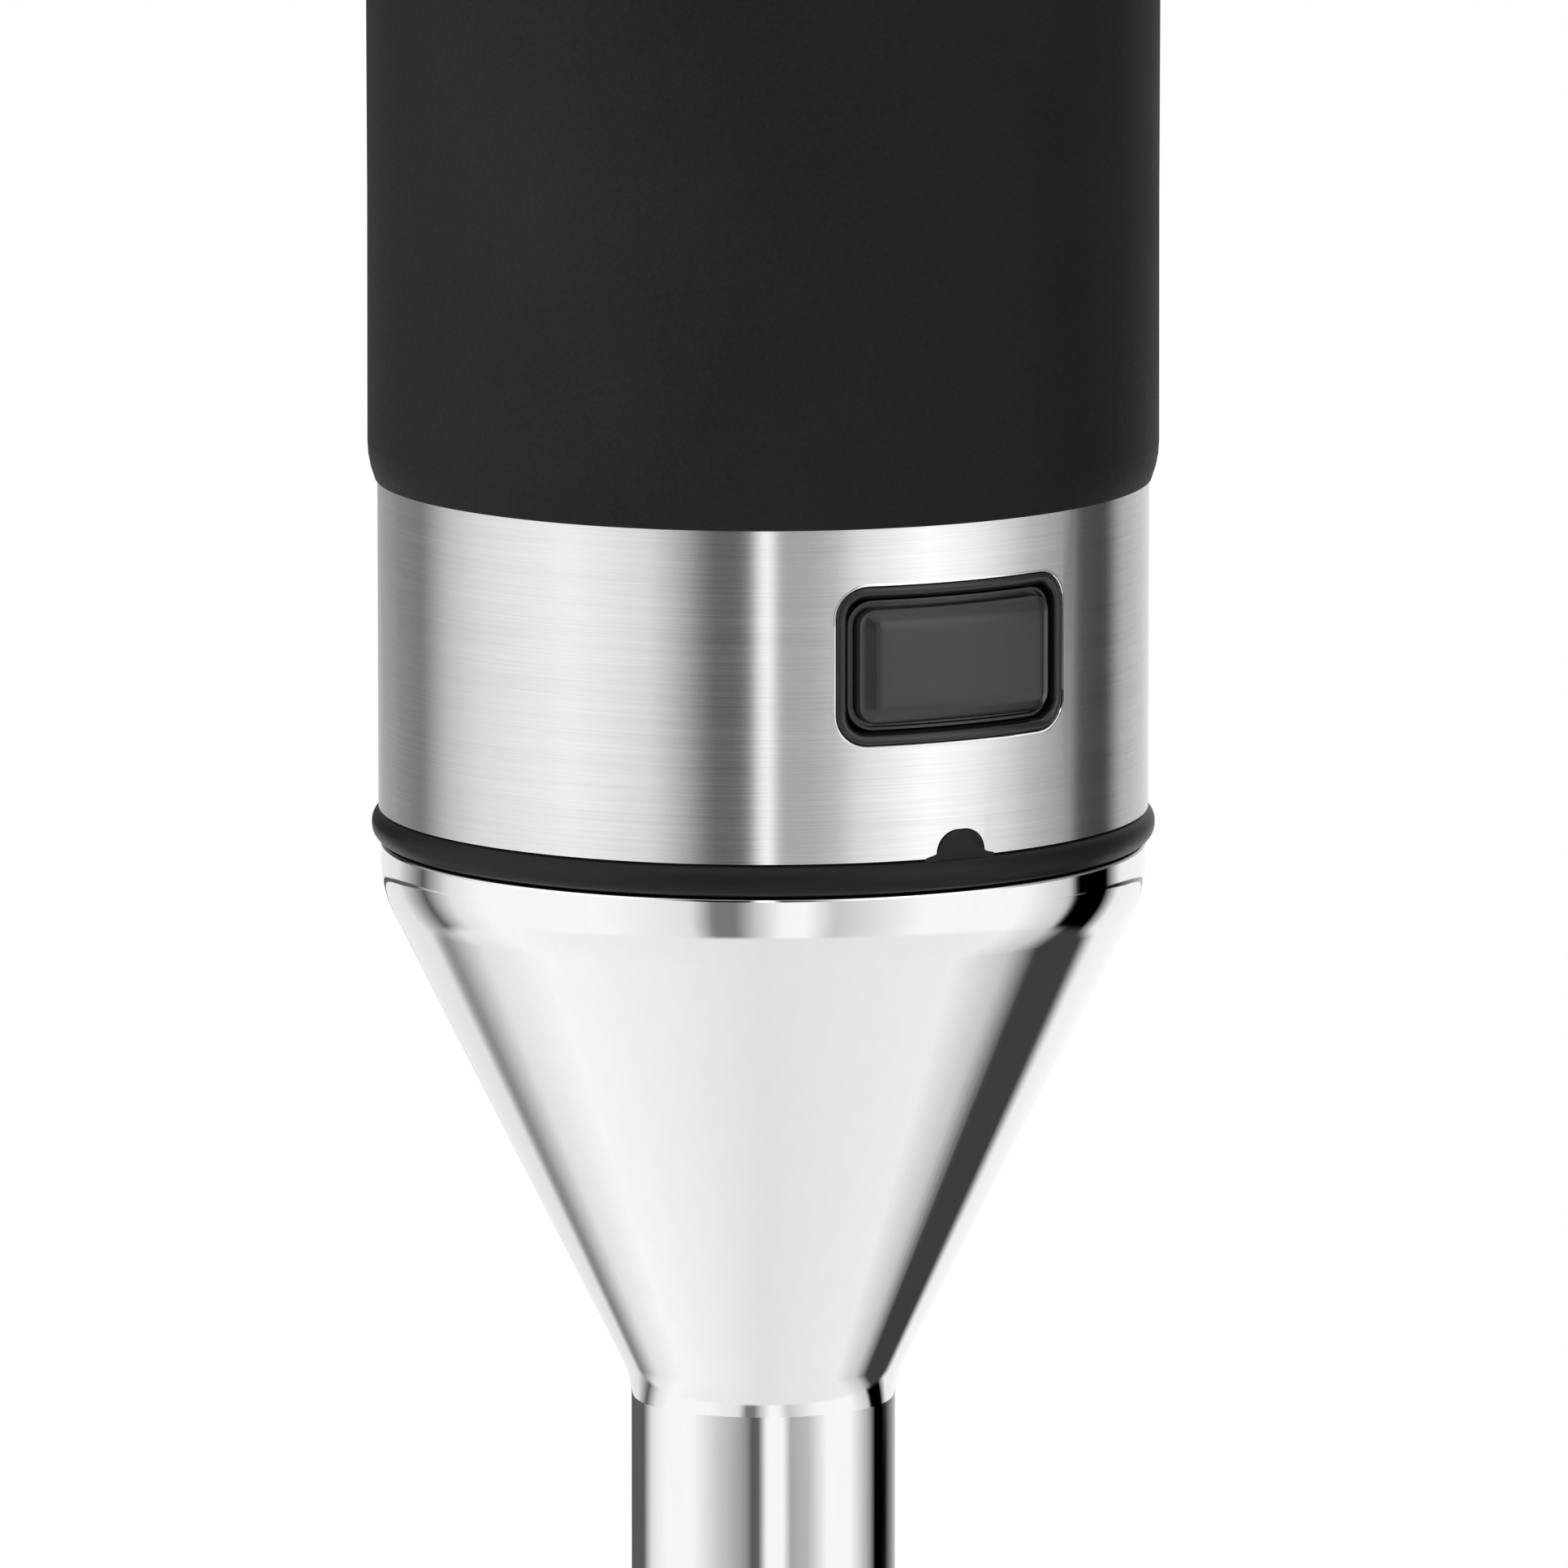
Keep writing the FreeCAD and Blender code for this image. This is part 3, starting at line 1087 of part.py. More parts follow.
def carbon_brushes():
    """Carbon blocks whose faces are curved to the commutator."""
    half = HOLDER_HALF - HOLDER_WALL - 0.1
    made = []
    for s in (-1, 1):
        a, b = sorted((s * 5.0, s * (motor_radius - 6.0)))
        block = box(a, b, -half, half, brush_z - half, brush_z + half)
        made.append(block.cut(disc(COMMUTATOR_RADIUS + 2 * FIT, commutator_low, commutator_high + 1)))
    return Part.makeCompound(made)


def motor_leads():
    """Two wires from the board down through the bracket to the brush holders."""
    made = []
    for s in (-1, 1):
        points = [Vector(s * 14.0, board_back + LEAD_RADIUS, board_low + 1.0),
                  Vector(s * 13.0, -LEAD_Y - 1.2, motor_high + 1.0),
                  Vector(s * LEAD_X, -LEAD_Y, motor_high - 1.5),
                  Vector(s * LEAD_X, -LEAD_Y, upper_plate_low - 2.0),
                  Vector(s * (LEAD_X + 3.4), -HOLDER_HALF - LEAD_RADIUS - 0.1, brush_z + 0.5)]
        made.append(lead(LEAD_RADIUS, points))
    return Part.makeCompound(made)


ROTOR_SLOTS = 12
core_low, core_high = stack_low + 1.0, stack_high - 1.0


def rotor_slot(gap, low, high):
    return box(9.6 + gap, ROTOR_RADIUS + (1 if gap == 0 else -0.5), -1.0 + gap, 1.0 - gap, low, high)


def rotor_core():
    """Slotted iron core."""
    core = ring(ROTOR_RADIUS, SHAFT_RADIUS + PRESS, core_low, core_high)
    return core.cut(spin_copies(rotor_slot(0, core_low - 1, core_high + 1), ROTOR_SLOTS))


def rotor_winding():
    """Copper bars in the core's slots and the bundled ends above and below it."""
    low, high = coil_low + 1.2, coil_high - 1.2
    inner, outer = SHAFT_RADIUS + 1.0, ROTOR_RADIUS - 0.5
    below, above = core_low - FIT, core_high + FIT
    ends = [lathe((inner, low), (outer, low, 1.6), (outer, below), (inner, below)),
            lathe((inner, above), (outer, above), (outer, high, 1.6), (inner, high))]
    bars = spin_copies(rotor_slot(0.1, core_low - 1, core_high + 1), ROTOR_SLOTS)
    return joined(*ends, *bars)


def commutator():
    """Copper drum with riser hooks and slots between its bars."""
    drum = lathe((SHAFT_RADIUS + PRESS, coil_high + 0.2), (COMMUTATOR_RADIUS + 1.4, coil_high + 0.2),
                 (COMMUTATOR_RADIUS + 1.4, commutator_low - 0.8), (COMMUTATOR_RADIUS, commutator_low - 0.8),
                 (COMMUTATOR_RADIUS, commutator_high), (SHAFT_RADIUS + PRESS, commutator_high))
    slot = box(COMMUTATOR_RADIUS - 0.7, COMMUTATOR_RADIUS + 3, -0.25, 0.25, coil_high, commutator_high + 1)
    return drum.cut(spin_copies(slot, 2 * ROTOR_SLOTS))


def cooling_fan():
    """Radial fan: a hub, a disc and upright vanes."""
    outer = bracket_inner - 1.2
    hub = ring(6.5, SHAFT_RADIUS + PRESS, fan_low, fan_high)
    plate = ring(outer, 6.0, fan_high - 1.4, fan_high)
    vane = box(6.0, outer - 0.4, -0.6, 0.6, fan_low + 0.6, fan_high - 1.0)
    return joined(hub, plate, *spin_copies(vane, 12))


SOCKET_FLATS = COUPLING_FLATS + 2 * PLAY
coupling_bottom = coupling_low + 1.0
coupling_web = coupling_high + 0.6
coupling_top = roof_low - 3.0


def motor_shaft():
    return disc(SHAFT_RADIUS, coupling_web + 0.5, motor_high - 1.0)


def motor_coupling():
    """Drive socket on the motor shaft, with a hexagonal mouth for the foot's driver."""
    bevel, neck = 1.5, 6.5
    shoulder = coupling_top - 2.0
    body = lathe((0, coupling_bottom), (coupling_outer - bevel, coupling_bottom),
                 (coupling_outer, coupling_bottom + bevel), (coupling_outer, shoulder, 0.6),
                 (neck, shoulder), (neck, coupling_top), (0, coupling_top))
    mouth = hexagon(SOCKET_FLATS, coupling_bottom - 1, coupling_web)
    flare = lathe((0, coupling_bottom - 0.5), (6.9, coupling_bottom - 0.5), (5.4, coupling_bottom + 1.2),
                  (0, coupling_bottom + 1.2))
    bore = disc(SHAFT_RADIUS + PRESS, coupling_web + 0.5, coupling_top + 1)
    return body.cut([mouth, flare, bore])


# ================================================================ write every sub-part
def main():
    os.makedirs("parts", exist_ok=True)
    parts = {
        "blade_guard": blade_guard(),
        "foot_tube": foot_tube(),
        "foot_cone": foot_cone(),
        "foot_plug": foot_plug(),
        "upper_bushing": bush(bush_high - BUSH_LENGTH, bush_high),
        "lower_bushing": bush(carrier_low + SEAL_POCKET + FIT, carrier_low + SEAL_POCKET + BUSH_LENGTH),
        "bearing_carrier": bearing_carrier(),
        "shaft_seal": shaft_seal(),
        "drive_shaft": drive_shaft(),
        "foot_coupling": foot_coupling(),
        "blade_hub": blade_hub(),
        "blade": blade(),
        "blade_nut": blade_nut(),
        "collar_ring": collar_ring(),
        "collar_liner": collar_liner(),
        "seal_ring": seal_ring(),
        "collar_screws": collar_screws(),
        "release_bezel": release_bezel(),
        "release_button": release_button(),
        "latch_slide": latch_slide(),
        "latch_spring": latch_spring(),
        "grip_sleeve": grip_sleeve(),
        "chassis_front": chassis_half(True),
        "chassis_rear": chassis_half(False),
        "chassis_screws": chassis_screws(),
        "damper_lower": damper(damper_levels[0]),
        "damper_upper": damper(damper_levels[1]),
        "top_ring": top_ring(),
        "top_cap": top_cap(),
        "cord_gland": cord_gland(),
        "cable_clamp": cable_clamp(),
        "clamp_screws": clamp_screws(),
        "speed_dial": speed_dial(),
        "dial_inlay": dial_inlay(),
        "potentiometer": potentiometer(),
        "pot_shaft": pot_shaft(),
        "button_frame": button_frame(),
        "start_button": switch_button(key_levels[0]),
        "turbo_button": switch_button(key_levels[1]),
        "start_spring": switch_spring(key_levels[0]),
        "turbo_spring": switch_spring(key_levels[1]),
        "micro_switches": micro_switches(),
        "control_board": control_board(),
        "suppressor_capacitor": suppressor_capacitor(),
        "stator_core": stator_core(),
        "field_coils": field_coils(),
        "lower_bracket": lower_bracket(),
        "upper_bracket": upper_bracket(),
        "bracket_bolts": bracket_bolts(),
        "lower_motor_bearing": motor_bearing(motor_low + 0.6 + FIT, lower_plate_high),
        "upper_motor_bearing": motor_bearing(upper_plate_low, motor_high - 0.6 - FIT),
        "brush_holders": brush_holders(),
        "carbon_brushes": carbon_brushes(),
        "motor_leads": motor_leads(),
        "motor_shaft": motor_shaft(),
        "rotor_core": rotor_core(),
        "rotor_winding": rotor_winding(),
        "commutator": commutator(),
        "cooling_fan": cooling_fan(),
        "motor_coupling": motor_coupling(),
    }
    for name, shape in parts.items():
        write(name, shape)
        sound = shape.isValid() and all(s.isValid() for s in shape.Solids)
        state = "ok" if sound else "BAD"
        print("%-22s solids %2d  volume %9.1f  %s" % (name, len(shape.Solids), shape.Volume, state))
    print("levels: guard %.2f cone %.2f seal %.2f collar %.2f grip %.2f-%.2f cap %.2f dial %.2f"
          % (guard_top, cone_top, seal_low, collar_low, collar_high, grip_high, cap_high, dial_high))


main()
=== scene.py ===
import json
import math

import bmesh
import bpy
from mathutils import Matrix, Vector
from mathutils.bvhtree import BVHTree


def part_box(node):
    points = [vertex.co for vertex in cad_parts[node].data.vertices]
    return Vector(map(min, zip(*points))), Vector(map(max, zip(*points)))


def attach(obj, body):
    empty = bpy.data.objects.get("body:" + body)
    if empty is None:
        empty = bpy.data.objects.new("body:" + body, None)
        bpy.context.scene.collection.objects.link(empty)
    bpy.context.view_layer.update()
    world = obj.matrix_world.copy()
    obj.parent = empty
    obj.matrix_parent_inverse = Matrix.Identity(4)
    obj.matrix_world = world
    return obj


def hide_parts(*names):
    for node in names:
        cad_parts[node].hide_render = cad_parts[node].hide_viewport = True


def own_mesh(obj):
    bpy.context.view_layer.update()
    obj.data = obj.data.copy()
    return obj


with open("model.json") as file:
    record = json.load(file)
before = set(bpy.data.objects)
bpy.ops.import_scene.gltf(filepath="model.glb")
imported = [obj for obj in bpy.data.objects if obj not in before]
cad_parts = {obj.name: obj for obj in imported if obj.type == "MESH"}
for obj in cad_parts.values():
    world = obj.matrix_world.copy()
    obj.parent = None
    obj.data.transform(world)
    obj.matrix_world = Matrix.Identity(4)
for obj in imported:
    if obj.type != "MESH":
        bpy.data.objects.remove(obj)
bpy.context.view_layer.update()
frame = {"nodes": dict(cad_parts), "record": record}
record = frame["record"]
nodes = frame["nodes"]
MM = 0.001

# ---------------------------------------------------------------- camera
CAMERA_AZIMUTH = math.radians(-30.5)
CAMERA_ELEVATION = math.radians(9.0)
CAMERA_DISTANCE = 1.93
CAMERA_LENS = 533.0
AIM_RIGHT = 0.00172
AIM_HEIGHT = 0.2076

TO_CAMERA = Vector((math.sin(CAMERA_AZIMUTH), -math.cos(CAMERA_AZIMUTH), 0.0))
TO_RIGHT = Vector((math.cos(CAMERA_AZIMUTH), math.sin(CAMERA_AZIMUTH), 0.0))


def studio_camera():
    aim = TO_RIGHT * AIM_RIGHT + Vector((0, 0, AIM_HEIGHT))
    back = TO_CAMERA * math.cos(CAMERA_ELEVATION) + Vector((0, 0, math.sin(CAMERA_ELEVATION)))
    data = bpy.data.cameras.new("camera")
    data.lens = CAMERA_LENS
    data.clip_start = 0.1
    data.clip_end = 20.0
    camera = bpy.data.objects.new("camera", data)
    camera.location = aim + back * CAMERA_DISTANCE
    camera.rotation_euler = back.to_track_quat("Z", "Y").to_euler()
    bpy.context.scene.collection.objects.link(camera)
    bpy.context.scene.camera = camera


studio_camera()
bpy.context.scene.view_settings.view_transform = "Standard"

# ---------------------------------------------------------------- studio: what the bright steel mirrors
# Each row is (degrees round from the camera, brightness), and negative is to the camera's left. The panels
# stand in rings from the floor up: the floor's sheen for the cone, the cone's bends, the tube, the band, and
# the collar.
FLOOR_PANELS = [(-180, 0.4), (-150, 0.05), (-135, 0.3), (-120, 0.8), (-95, 1.0), (0, 0.8), (85, 0.9),
                (105, 0.6), (117, 0.05), (150, 0.05), (180, 0.4)]
TUBE_PANELS = [(-180, 0.1), (-130, 0.1), (-115, 0.8), (-95, 1.0), (-65, 1.0), (-40, 0.6), (-15, 0.3),
               (-10, 0.1), (-4, 0.1), (3, 1.0), (17, 1.0), (24, 0.4), (40, 0.5), (58, 1.0), (82, 1.0),
               (108, 0.3), (115, 0.0), (135, 0.0), (180, 0.8)]
BAND_PANELS = [(-180, 0.9), (-145, 0.8), (-125, 0.1), (-110, 0.8), (-95, 1.0), (-50, 1.0), (-22, 0.8),
               (-15, 0.2), (-8, 0.2), (-2, 0.6), (6, 1.0), (13, 1.0), (22, 0.6), (50, 1.0), (85, 1.0),
               (106, 0.6), (110, 0.0), (127, 0.0), (137, 0.9), (180, 1.0)]
RING_PANELS = [(-180, 0.3), (-140, 0.0), (-120, 0.4), (-90, 1.0), (-60, 1.4), (-34, 1.0), (-20, 0.0),
               (-4, 0.0), (1, 2.4), (5, 0.0), (14, 0.1), (28, 1.2), (50, 1.8), (66, 1.4), (86, 0.4),
               (124, 0.1), (150, 0.5), (180, 0.8)]
# heights above the horizon, in degrees, where one ring of panels gives way to the next
BEND_EDGE = (-31.0, -26.0)
TUBE_EDGE = (-11.3, -11.1)
BAND_EDGE = (-10.48, -10.36)
RING_EDGE = (-8.9, -8.0)
TOP_EDGE = (30.0, 55.0)
TOP_LIGHT = 0.95


def panel_ramp(tree, name, panels, around):
    ramp = tree.nodes.new("ShaderNodeValToRGB")
    ramp.label = name
    stops = ramp.color_ramp.elements
    while len(stops) > 1:
        stops.remove(stops[-1])
    for i, (degrees, light) in enumerate(panels):
        place = degrees / 360 + 0.5
        stop = stops[0] if i == 0 else stops.new(place)
        stop.position = place
        stop.color = (light, light, light, 1)
    tree.links.new(around, ramp.inputs["Fac"])
    return ramp.outputs["Color"]


def math_node(tree, operation, *values):
    node = tree.nodes.new("ShaderNodeMath")
    node.operation = operation
    for socket, value in zip(node.inputs, values):
        if isinstance(value, (int, float)):
            socket.default_value = value
        else:
            tree.links.new(value, socket)
    return node.outputs[0]


def dot_node(tree, vector, direction):
    node = tree.nodes.new("ShaderNodeVectorMath")
    node.operation = "DOT_PRODUCT"
    node.inputs[1].default_value = direction
    tree.links.new(vector, node.inputs[0])
    return node.outputs["Value"]


def step_node(tree, value, edge):
    """0 below edge, 1 above it, with a smooth step between."""
    node = tree.nodes.new("ShaderNodeMapRange")
    node.interpolation_type = "SMOOTHSTEP"
    node.inputs["From Min"].default_value = edge[0]
    node.inputs["From Max"].default_value = edge[1]
    tree.links.new(value, node.inputs["Value"])
    return node.outputs["Result"]


def mix_colour(tree, factor, a, b, blend="MIX"):
    node = tree.nodes.new("ShaderNodeMix")
    node.data_type = "RGBA"
    node.blend_type = blend
    pairs = ((node.inputs[0], factor), (node.inputs[6], a), (node.inputs[7], b))
    for socket, value in pairs:
        if isinstance(value, bpy.types.NodeSocket):
            tree.links.new(value, socket)
        elif isinstance(value, (int, float)):
            socket.default_value = value
        else:
            socket.default_value = (*value, 1.0)
    return node.outputs[2]


def studio_world():
    """White studio: panels round the object for the steel to mirror, white behind it for the camera."""
    world = bpy.data.worlds.new("studio")
    bpy.context.scene.world = world
    world.use_nodes = True
    tree = world.node_tree
    tree.nodes.clear()
    direction = tree.nodes.new("ShaderNodeTexCoord").outputs["Generated"]
    towards = dot_node(tree, direction, TO_CAMERA)
    right = dot_node(tree, direction, TO_RIGHT)
    up = dot_node(tree, direction, (0, 0, 1))
    turn = math_node(tree, "ARCTAN2", right, towards)
    around = math_node(tree, "MULTIPLY_ADD", turn, 0.5 / math.pi, 0.5)
    height = math_node(tree, "MULTIPLY", math_node(tree, "ARCSINE", up), 180 / math.pi)
    light = panel_ramp(tree, "floor", FLOOR_PANELS, around)
    for name, panels, edge in (("bend", BAND_PANELS, BEND_EDGE), ("tube", TUBE_PANELS, TUBE_EDGE),
                               ("band", BAND_PANELS, BAND_EDGE), ("ring", RING_PANELS, RING_EDGE)):
        ring = panel_ramp(tree, name, panels, around)
        light = mix_colour(tree, step_node(tree, height, edge), light, ring)
    light = mix_colour(tree, step_node(tree, height, TOP_EDGE), light, (TOP_LIGHT,) * 3)
    studio = tree.nodes.new("ShaderNodeBackground")
    tree.links.new(light, studio.inputs["Color"])
    white = tree.nodes.new("ShaderNodeBackground")
    white.inputs["Color"].default_value = (1, 1, 1, 1)
    mix = tree.nodes.new("ShaderNodeMixShader")
    output = tree.nodes.new("ShaderNodeOutputWorld")
    tree.links.new(tree.nodes.new("ShaderNodeLightPath").outputs["Is Camera Ray"], mix.inputs[0])
    tree.links.new(studio.outputs[0], mix.inputs[1])
    tree.links.new(white.outputs[0], mix.inputs[2])
    tree.links.new(mix.outputs[0], output.inputs["Surface"])


studio_world()


def soft_light(name, size, watts, place, aim):
    data = bpy.data.lights.new(name, "AREA")
    data.shape = "SQUARE"
    data.size = size
    data.energy = watts
    lamp = bpy.data.objects.new(name, data)
    lamp.location = place
    lamp.rotation_euler = (Vector(place) - Vector(aim)).to_track_quat("Z", "Y").to_euler()
    lamp.visible_glossy = False
    bpy.context.scene.collection.objects.link(lamp)


soft_light("top_light", size=1.2, watts=12.0, place=(0.0, 0.0, 1.6), aim=(0, 0, 0))
soft_light("left_light", size=0.7, watts=13.0, place=TO_CAMERA * 0.7 - TO_RIGHT * 1.0 + Vector((0, 0, 0.6)),
           aim=(0, 0, 0.25))

# ---------------------------------------------------------------- shared effects
SOCKETS = {"value": "NodeSocketFloat", "vector": "NodeSocketVector"}
HANDLING_SCALE = 45.0
# the radius, in metres, at which a turned line is as long as its Line Length says
LINE_RADIUS = 0.032
LEAST_RADIUS = 1e-5
LINE_SHARE, STREAK_SHARE = 0.65, 0.35
STREAK_STRETCH = (0.4, 0.4, 0.11)
EDGE_FADE = (0.75, 0.98)
RUB_SCALE = 700.0
RUB_FADE = (0.35, 0.65)
HAZE_SCALE, LEAST_HAZE = 60.0, 0.02
HAIRLINE_STRETCH = (900.0, 900.0, 90.0)
RIPPLE_SCALE = 120.0


def new_group(name, inputs, outputs):
    """Empty shader group with sockets given as {name: (kind, default)} and {name: kind}."""
    group = bpy.data.node_groups.new(name, "ShaderNodeTree")
    for label, (kind, default) in inputs.items():
        socket = group.interface.new_socket(label, in_out="INPUT", socket_type=SOCKETS[kind])
        socket.default_value = default
    for label, kind in outputs.items():
        group.interface.new_socket(label, in_out="OUTPUT", socket_type=SOCKETS[kind])
    return group, group.nodes.new("NodeGroupInput"), group.nodes.new("NodeGroupOutput")


def noise_node(tree, vector, scale, detail=2.0, roughness=0.5):
    node = tree.nodes.new("ShaderNodeTexNoise")
    node.inputs["Detail"].default_value = detail
    node.inputs["Roughness"].default_value = roughness
    tree.links.new(vector, node.inputs["Vector"])
    if isinstance(scale, (int, float)):
        node.inputs["Scale"].default_value = scale
    else:
        tree.links.new(scale, node.inputs["Scale"])
    return node.outputs["Fac"]


def bump_node(tree, height, depth):
    node = tree.nodes.new("ShaderNodeBump")
    node.inputs["Strength"].default_value = 1.0
    tree.links.new(height, node.inputs["Height"])
    if isinstance(depth, (int, float)):
        node.inputs["Distance"].default_value = depth
    else:
        tree.links.new(depth, node.inputs["Distance"])
    return node.outputs[0]


def scaled_vector(tree, vector, scale):
    node = tree.nodes.new("ShaderNodeVectorMath")
    node.operation = "MULTIPLY"
    node.inputs[1].default_value = scale
    tree.links.new(vector, node.inputs[0])
    return node.outputs["Vector"]


def range_node(tree, value, low, high, floor=0.0, top=1.0):
    node = tree.nodes.new("ShaderNodeMapRange")
    node.inputs["From Min"].default_value = floor
    node.inputs["From Max"].default_value = top
    for label, limit in (("To Min", low), ("To Max", high)):
        if isinstance(limit, (int, float)):
            node.inputs[label].default_value = limit
        else:
            tree.links.new(limit, node.inputs[label])
    tree.links.new(value, node.inputs["Value"])
    return node.outputs["Result"]


def moulded_grain_group():
    """Fine spark-eroded grain of a moulding or a coating, with a slow change of gloss from handling."""
    tree, given, made = new_group(
        "moulded_grain",
        {"Grain Scale": ("value", 2500.0), "Grain Depth": ("value", 0.00002), "Dull": ("value", 0.6),
         "Shiny": ("value", 0.45), "Tone Change": ("value", 0.15)},
        {"Tone": "value", "Roughness": "value", "Normal": "vector"})
    place = tree.nodes.new("ShaderNodeTexCoord").outputs["Object"]
    grain = noise_node(tree, place, given.outputs["Grain Scale"], roughness=0.6)
    cloud = noise_node(tree, place, HANDLING_SCALE, detail=3.0, roughness=0.55)
    tree.links.new(range_node(tree, cloud, given.outputs["Shiny"], given.outputs["Dull"], 0.3, 0.7),
                   made.inputs["Roughness"])
    speck = math_node(tree, "MULTIPLY", math_node(tree, "SUBTRACT", grain, 0.5), given.outputs["Tone Change"])
    drift = math_node(tree, "MULTIPLY", math_node(tree, "SUBTRACT", cloud, 0.5), given.outputs["Tone Change"])
    both = math_node(tree, "ADD", speck, drift)
    tree.links.new(math_node(tree, "ADD", math_node(tree, "MULTIPLY", both, 2.0), 1.0), made.inputs["Tone"])
    tree.links.new(bump_node(tree, grain, given.outputs["Grain Depth"]), made.inputs["Normal"])
    return tree


def turned_lines_group():
    """Fine lines that run round the axis, as a belt or a lathe leaves them."""
    tree, given, made = new_group(
        "turned_lines",
        {"Line Pitch": ("value", 0.00018), "Line Length": ("value", 0.012), "Depth": ("value", 0.000004),
         "Tone Change": ("value", 0.1), "Roughness": ("value", 0.33), "Roughness Change": ("value", 0.05)},
        {"Tone": "value", "Roughness": "value", "Normal": "vector"})
    place = tree.nodes.new("ShaderNodeTexCoord").outputs["Object"]
    parts = tree.nodes.new("ShaderNodeSeparateXYZ")
    tree.links.new(place, parts.inputs[0])
    x, y, z = parts.outputs
    radius = math_node(tree, "SQRT", math_node(tree, "ADD", math_node(tree, "MULTIPLY", x, x),
                                               math_node(tree, "MULTIPLY", y, y)))
    safe = math_node(tree, "MAXIMUM", radius, LEAST_RADIUS)
    across = tree.nodes.new("ShaderNodeCombineXYZ")
    for socket, side in zip(across.inputs, (x, y)):
        arc = math_node(tree, "MULTIPLY", math_node(tree, "DIVIDE", side, safe), LINE_RADIUS)
        along = math_node(tree, "DIVIDE", arc, given.outputs["Line Length"])
        tree.links.new(along, socket)
    level = math_node(tree, "ADD", z, radius)
    tree.links.new(math_node(tree, "DIVIDE", level, given.outputs["Line Pitch"]), across.inputs[2])
    lines = noise_node(tree, across.outputs[0], 1.0, detail=3.0, roughness=0.65)
    streaks = noise_node(tree, scaled_vector(tree, across.outputs[0], STREAK_STRETCH), 1.0)
    both = math_node(tree, "ADD", math_node(tree, "MULTIPLY", lines, LINE_SHARE),
                     math_node(tree, "MULTIPLY", streaks, STREAK_SHARE))
    centred = math_node(tree, "SUBTRACT", both, 0.5)
    tone = math_node(tree, "MULTIPLY_ADD", centred, given.outputs["Tone Change"], 1.0)
    tree.links.new(tone, made.inputs["Tone"])
    rough = math_node(tree, "MULTIPLY_ADD", centred, given.outputs["Roughness Change"],
                      given.outputs["Roughness"])
    tree.links.new(rough, made.inputs["Roughness"])
    tree.links.new(bump_node(tree, both, given.outputs["Depth"]), made.inputs["Normal"])
    return tree


def worn_edge_group():
    """1 on outer edges that hands and tools rub, broken up by a soft noise; on metal the lighter colour it
    brings is partly a painted highlight.
    """
    tree, given, made = new_group("wear_and_highlight_edge", {"Edge Width": ("value", 0.0003), "Amount": ("value", 0.6)},
                                  {"Mask": "value"})
    rounded = tree.nodes.new("ShaderNodeBevel")
    rounded.samples = 4
    tree.links.new(given.outputs["Edge Width"], rounded.inputs["Radius"])
    shape = tree.nodes.new("ShaderNodeNewGeometry")
    dot = tree.nodes.new("ShaderNodeVectorMath")
    dot.operation = "DOT_PRODUCT"
    tree.links.new(rounded.outputs[0], dot.inputs[0])
    tree.links.new(shape.outputs["Normal"], dot.inputs[1])
    edge = range_node(tree, dot.outputs["Value"], 1.0, 0.0, *EDGE_FADE)
    place = tree.nodes.new("ShaderNodeTexCoord").outputs["Object"]
    rub = noise_node(tree, place, RUB_SCALE, detail=3.0, roughness=0.6)
    broken = range_node(tree, rub, 0.0, 1.0, *RUB_FADE)
    worn = math_node(tree, "MULTIPLY", math_node(tree, "MULTIPLY", edge, broken), given.outputs["Amount"])
    tree.links.new(worn, made.inputs["Mask"])
    return tree


def polish_marks_group():
    """What is left on mirror-polished sheet: a faint haze and hairlines in every direction."""
    tree, given, made = new_group("polish_marks", {"Haze": ("value", 0.03), "Ripple": ("value", 0.0000015)},
                                  {"Tone": "value", "Roughness": "value", "Normal": "vector"})
    place = tree.nodes.new("ShaderNodeTexCoord").outputs["Object"]
    cloud = noise_node(tree, place, HAZE_SCALE, detail=3.0, roughness=0.6)
    hair = noise_node(tree, scaled_vector(tree, place, HAIRLINE_STRETCH), 1.0)
    haze = math_node(tree, "MULTIPLY", cloud, given.outputs["Haze"])
    tree.links.new(math_node(tree, "ADD", haze, LEAST_HAZE), made.inputs["Roughness"])
    tree.links.new(range_node(tree, hair, 0.985, 1.0, 0.3, 0.7), made.inputs["Tone"])
    wave = noise_node(tree, place, RIPPLE_SCALE, detail=1.0, roughness=0.4)
    tree.links.new(bump_node(tree, wave, given.outputs["Ripple"]), made.inputs["Normal"])
    return tree


GRAIN = moulded_grain_group()
TURNED = turned_lines_group()
WEAR_AND_HIGHLIGHT = worn_edge_group()
POLISH = polish_marks_group()


def use_group(tree, group, **values):
    node = tree.nodes.new("ShaderNodeGroup")
    node.node_tree = group
    for label, value in values.items():
        node.inputs[label.replace("_", " ")].default_value = value
    return node.outputs


def toned(tree, colour, tone):
    """A colour made lighter or darker by a value round 1."""
    grey = tree.nodes.new("ShaderNodeCombineColor")
    for socket in grey.inputs:
        tree.links.new(tone, socket)
    return mix_colour(tree, 1.0, colour, grey.outputs[0], "MULTIPLY")


def new_material(name, **values):
    """Material with a Principled shader, whose constant values go straight on its sockets."""
    material = bpy.data.materials.new(name)
    material.use_nodes = True
    shader = material.node_tree.nodes["Principled BSDF"]
    for label, value in values.items():
        shader.inputs[label.replace("_", " ")].default_value = value
    return material, material.node_tree, shader


MOULDING_EDGE, METAL_EDGE = 0.0003, 0.00025
# how much lighter metal edges are painted: partly bare metal rubbed through, partly a painted highlight
BARE_METAL_AND_HIGHLIGHT = 1.25


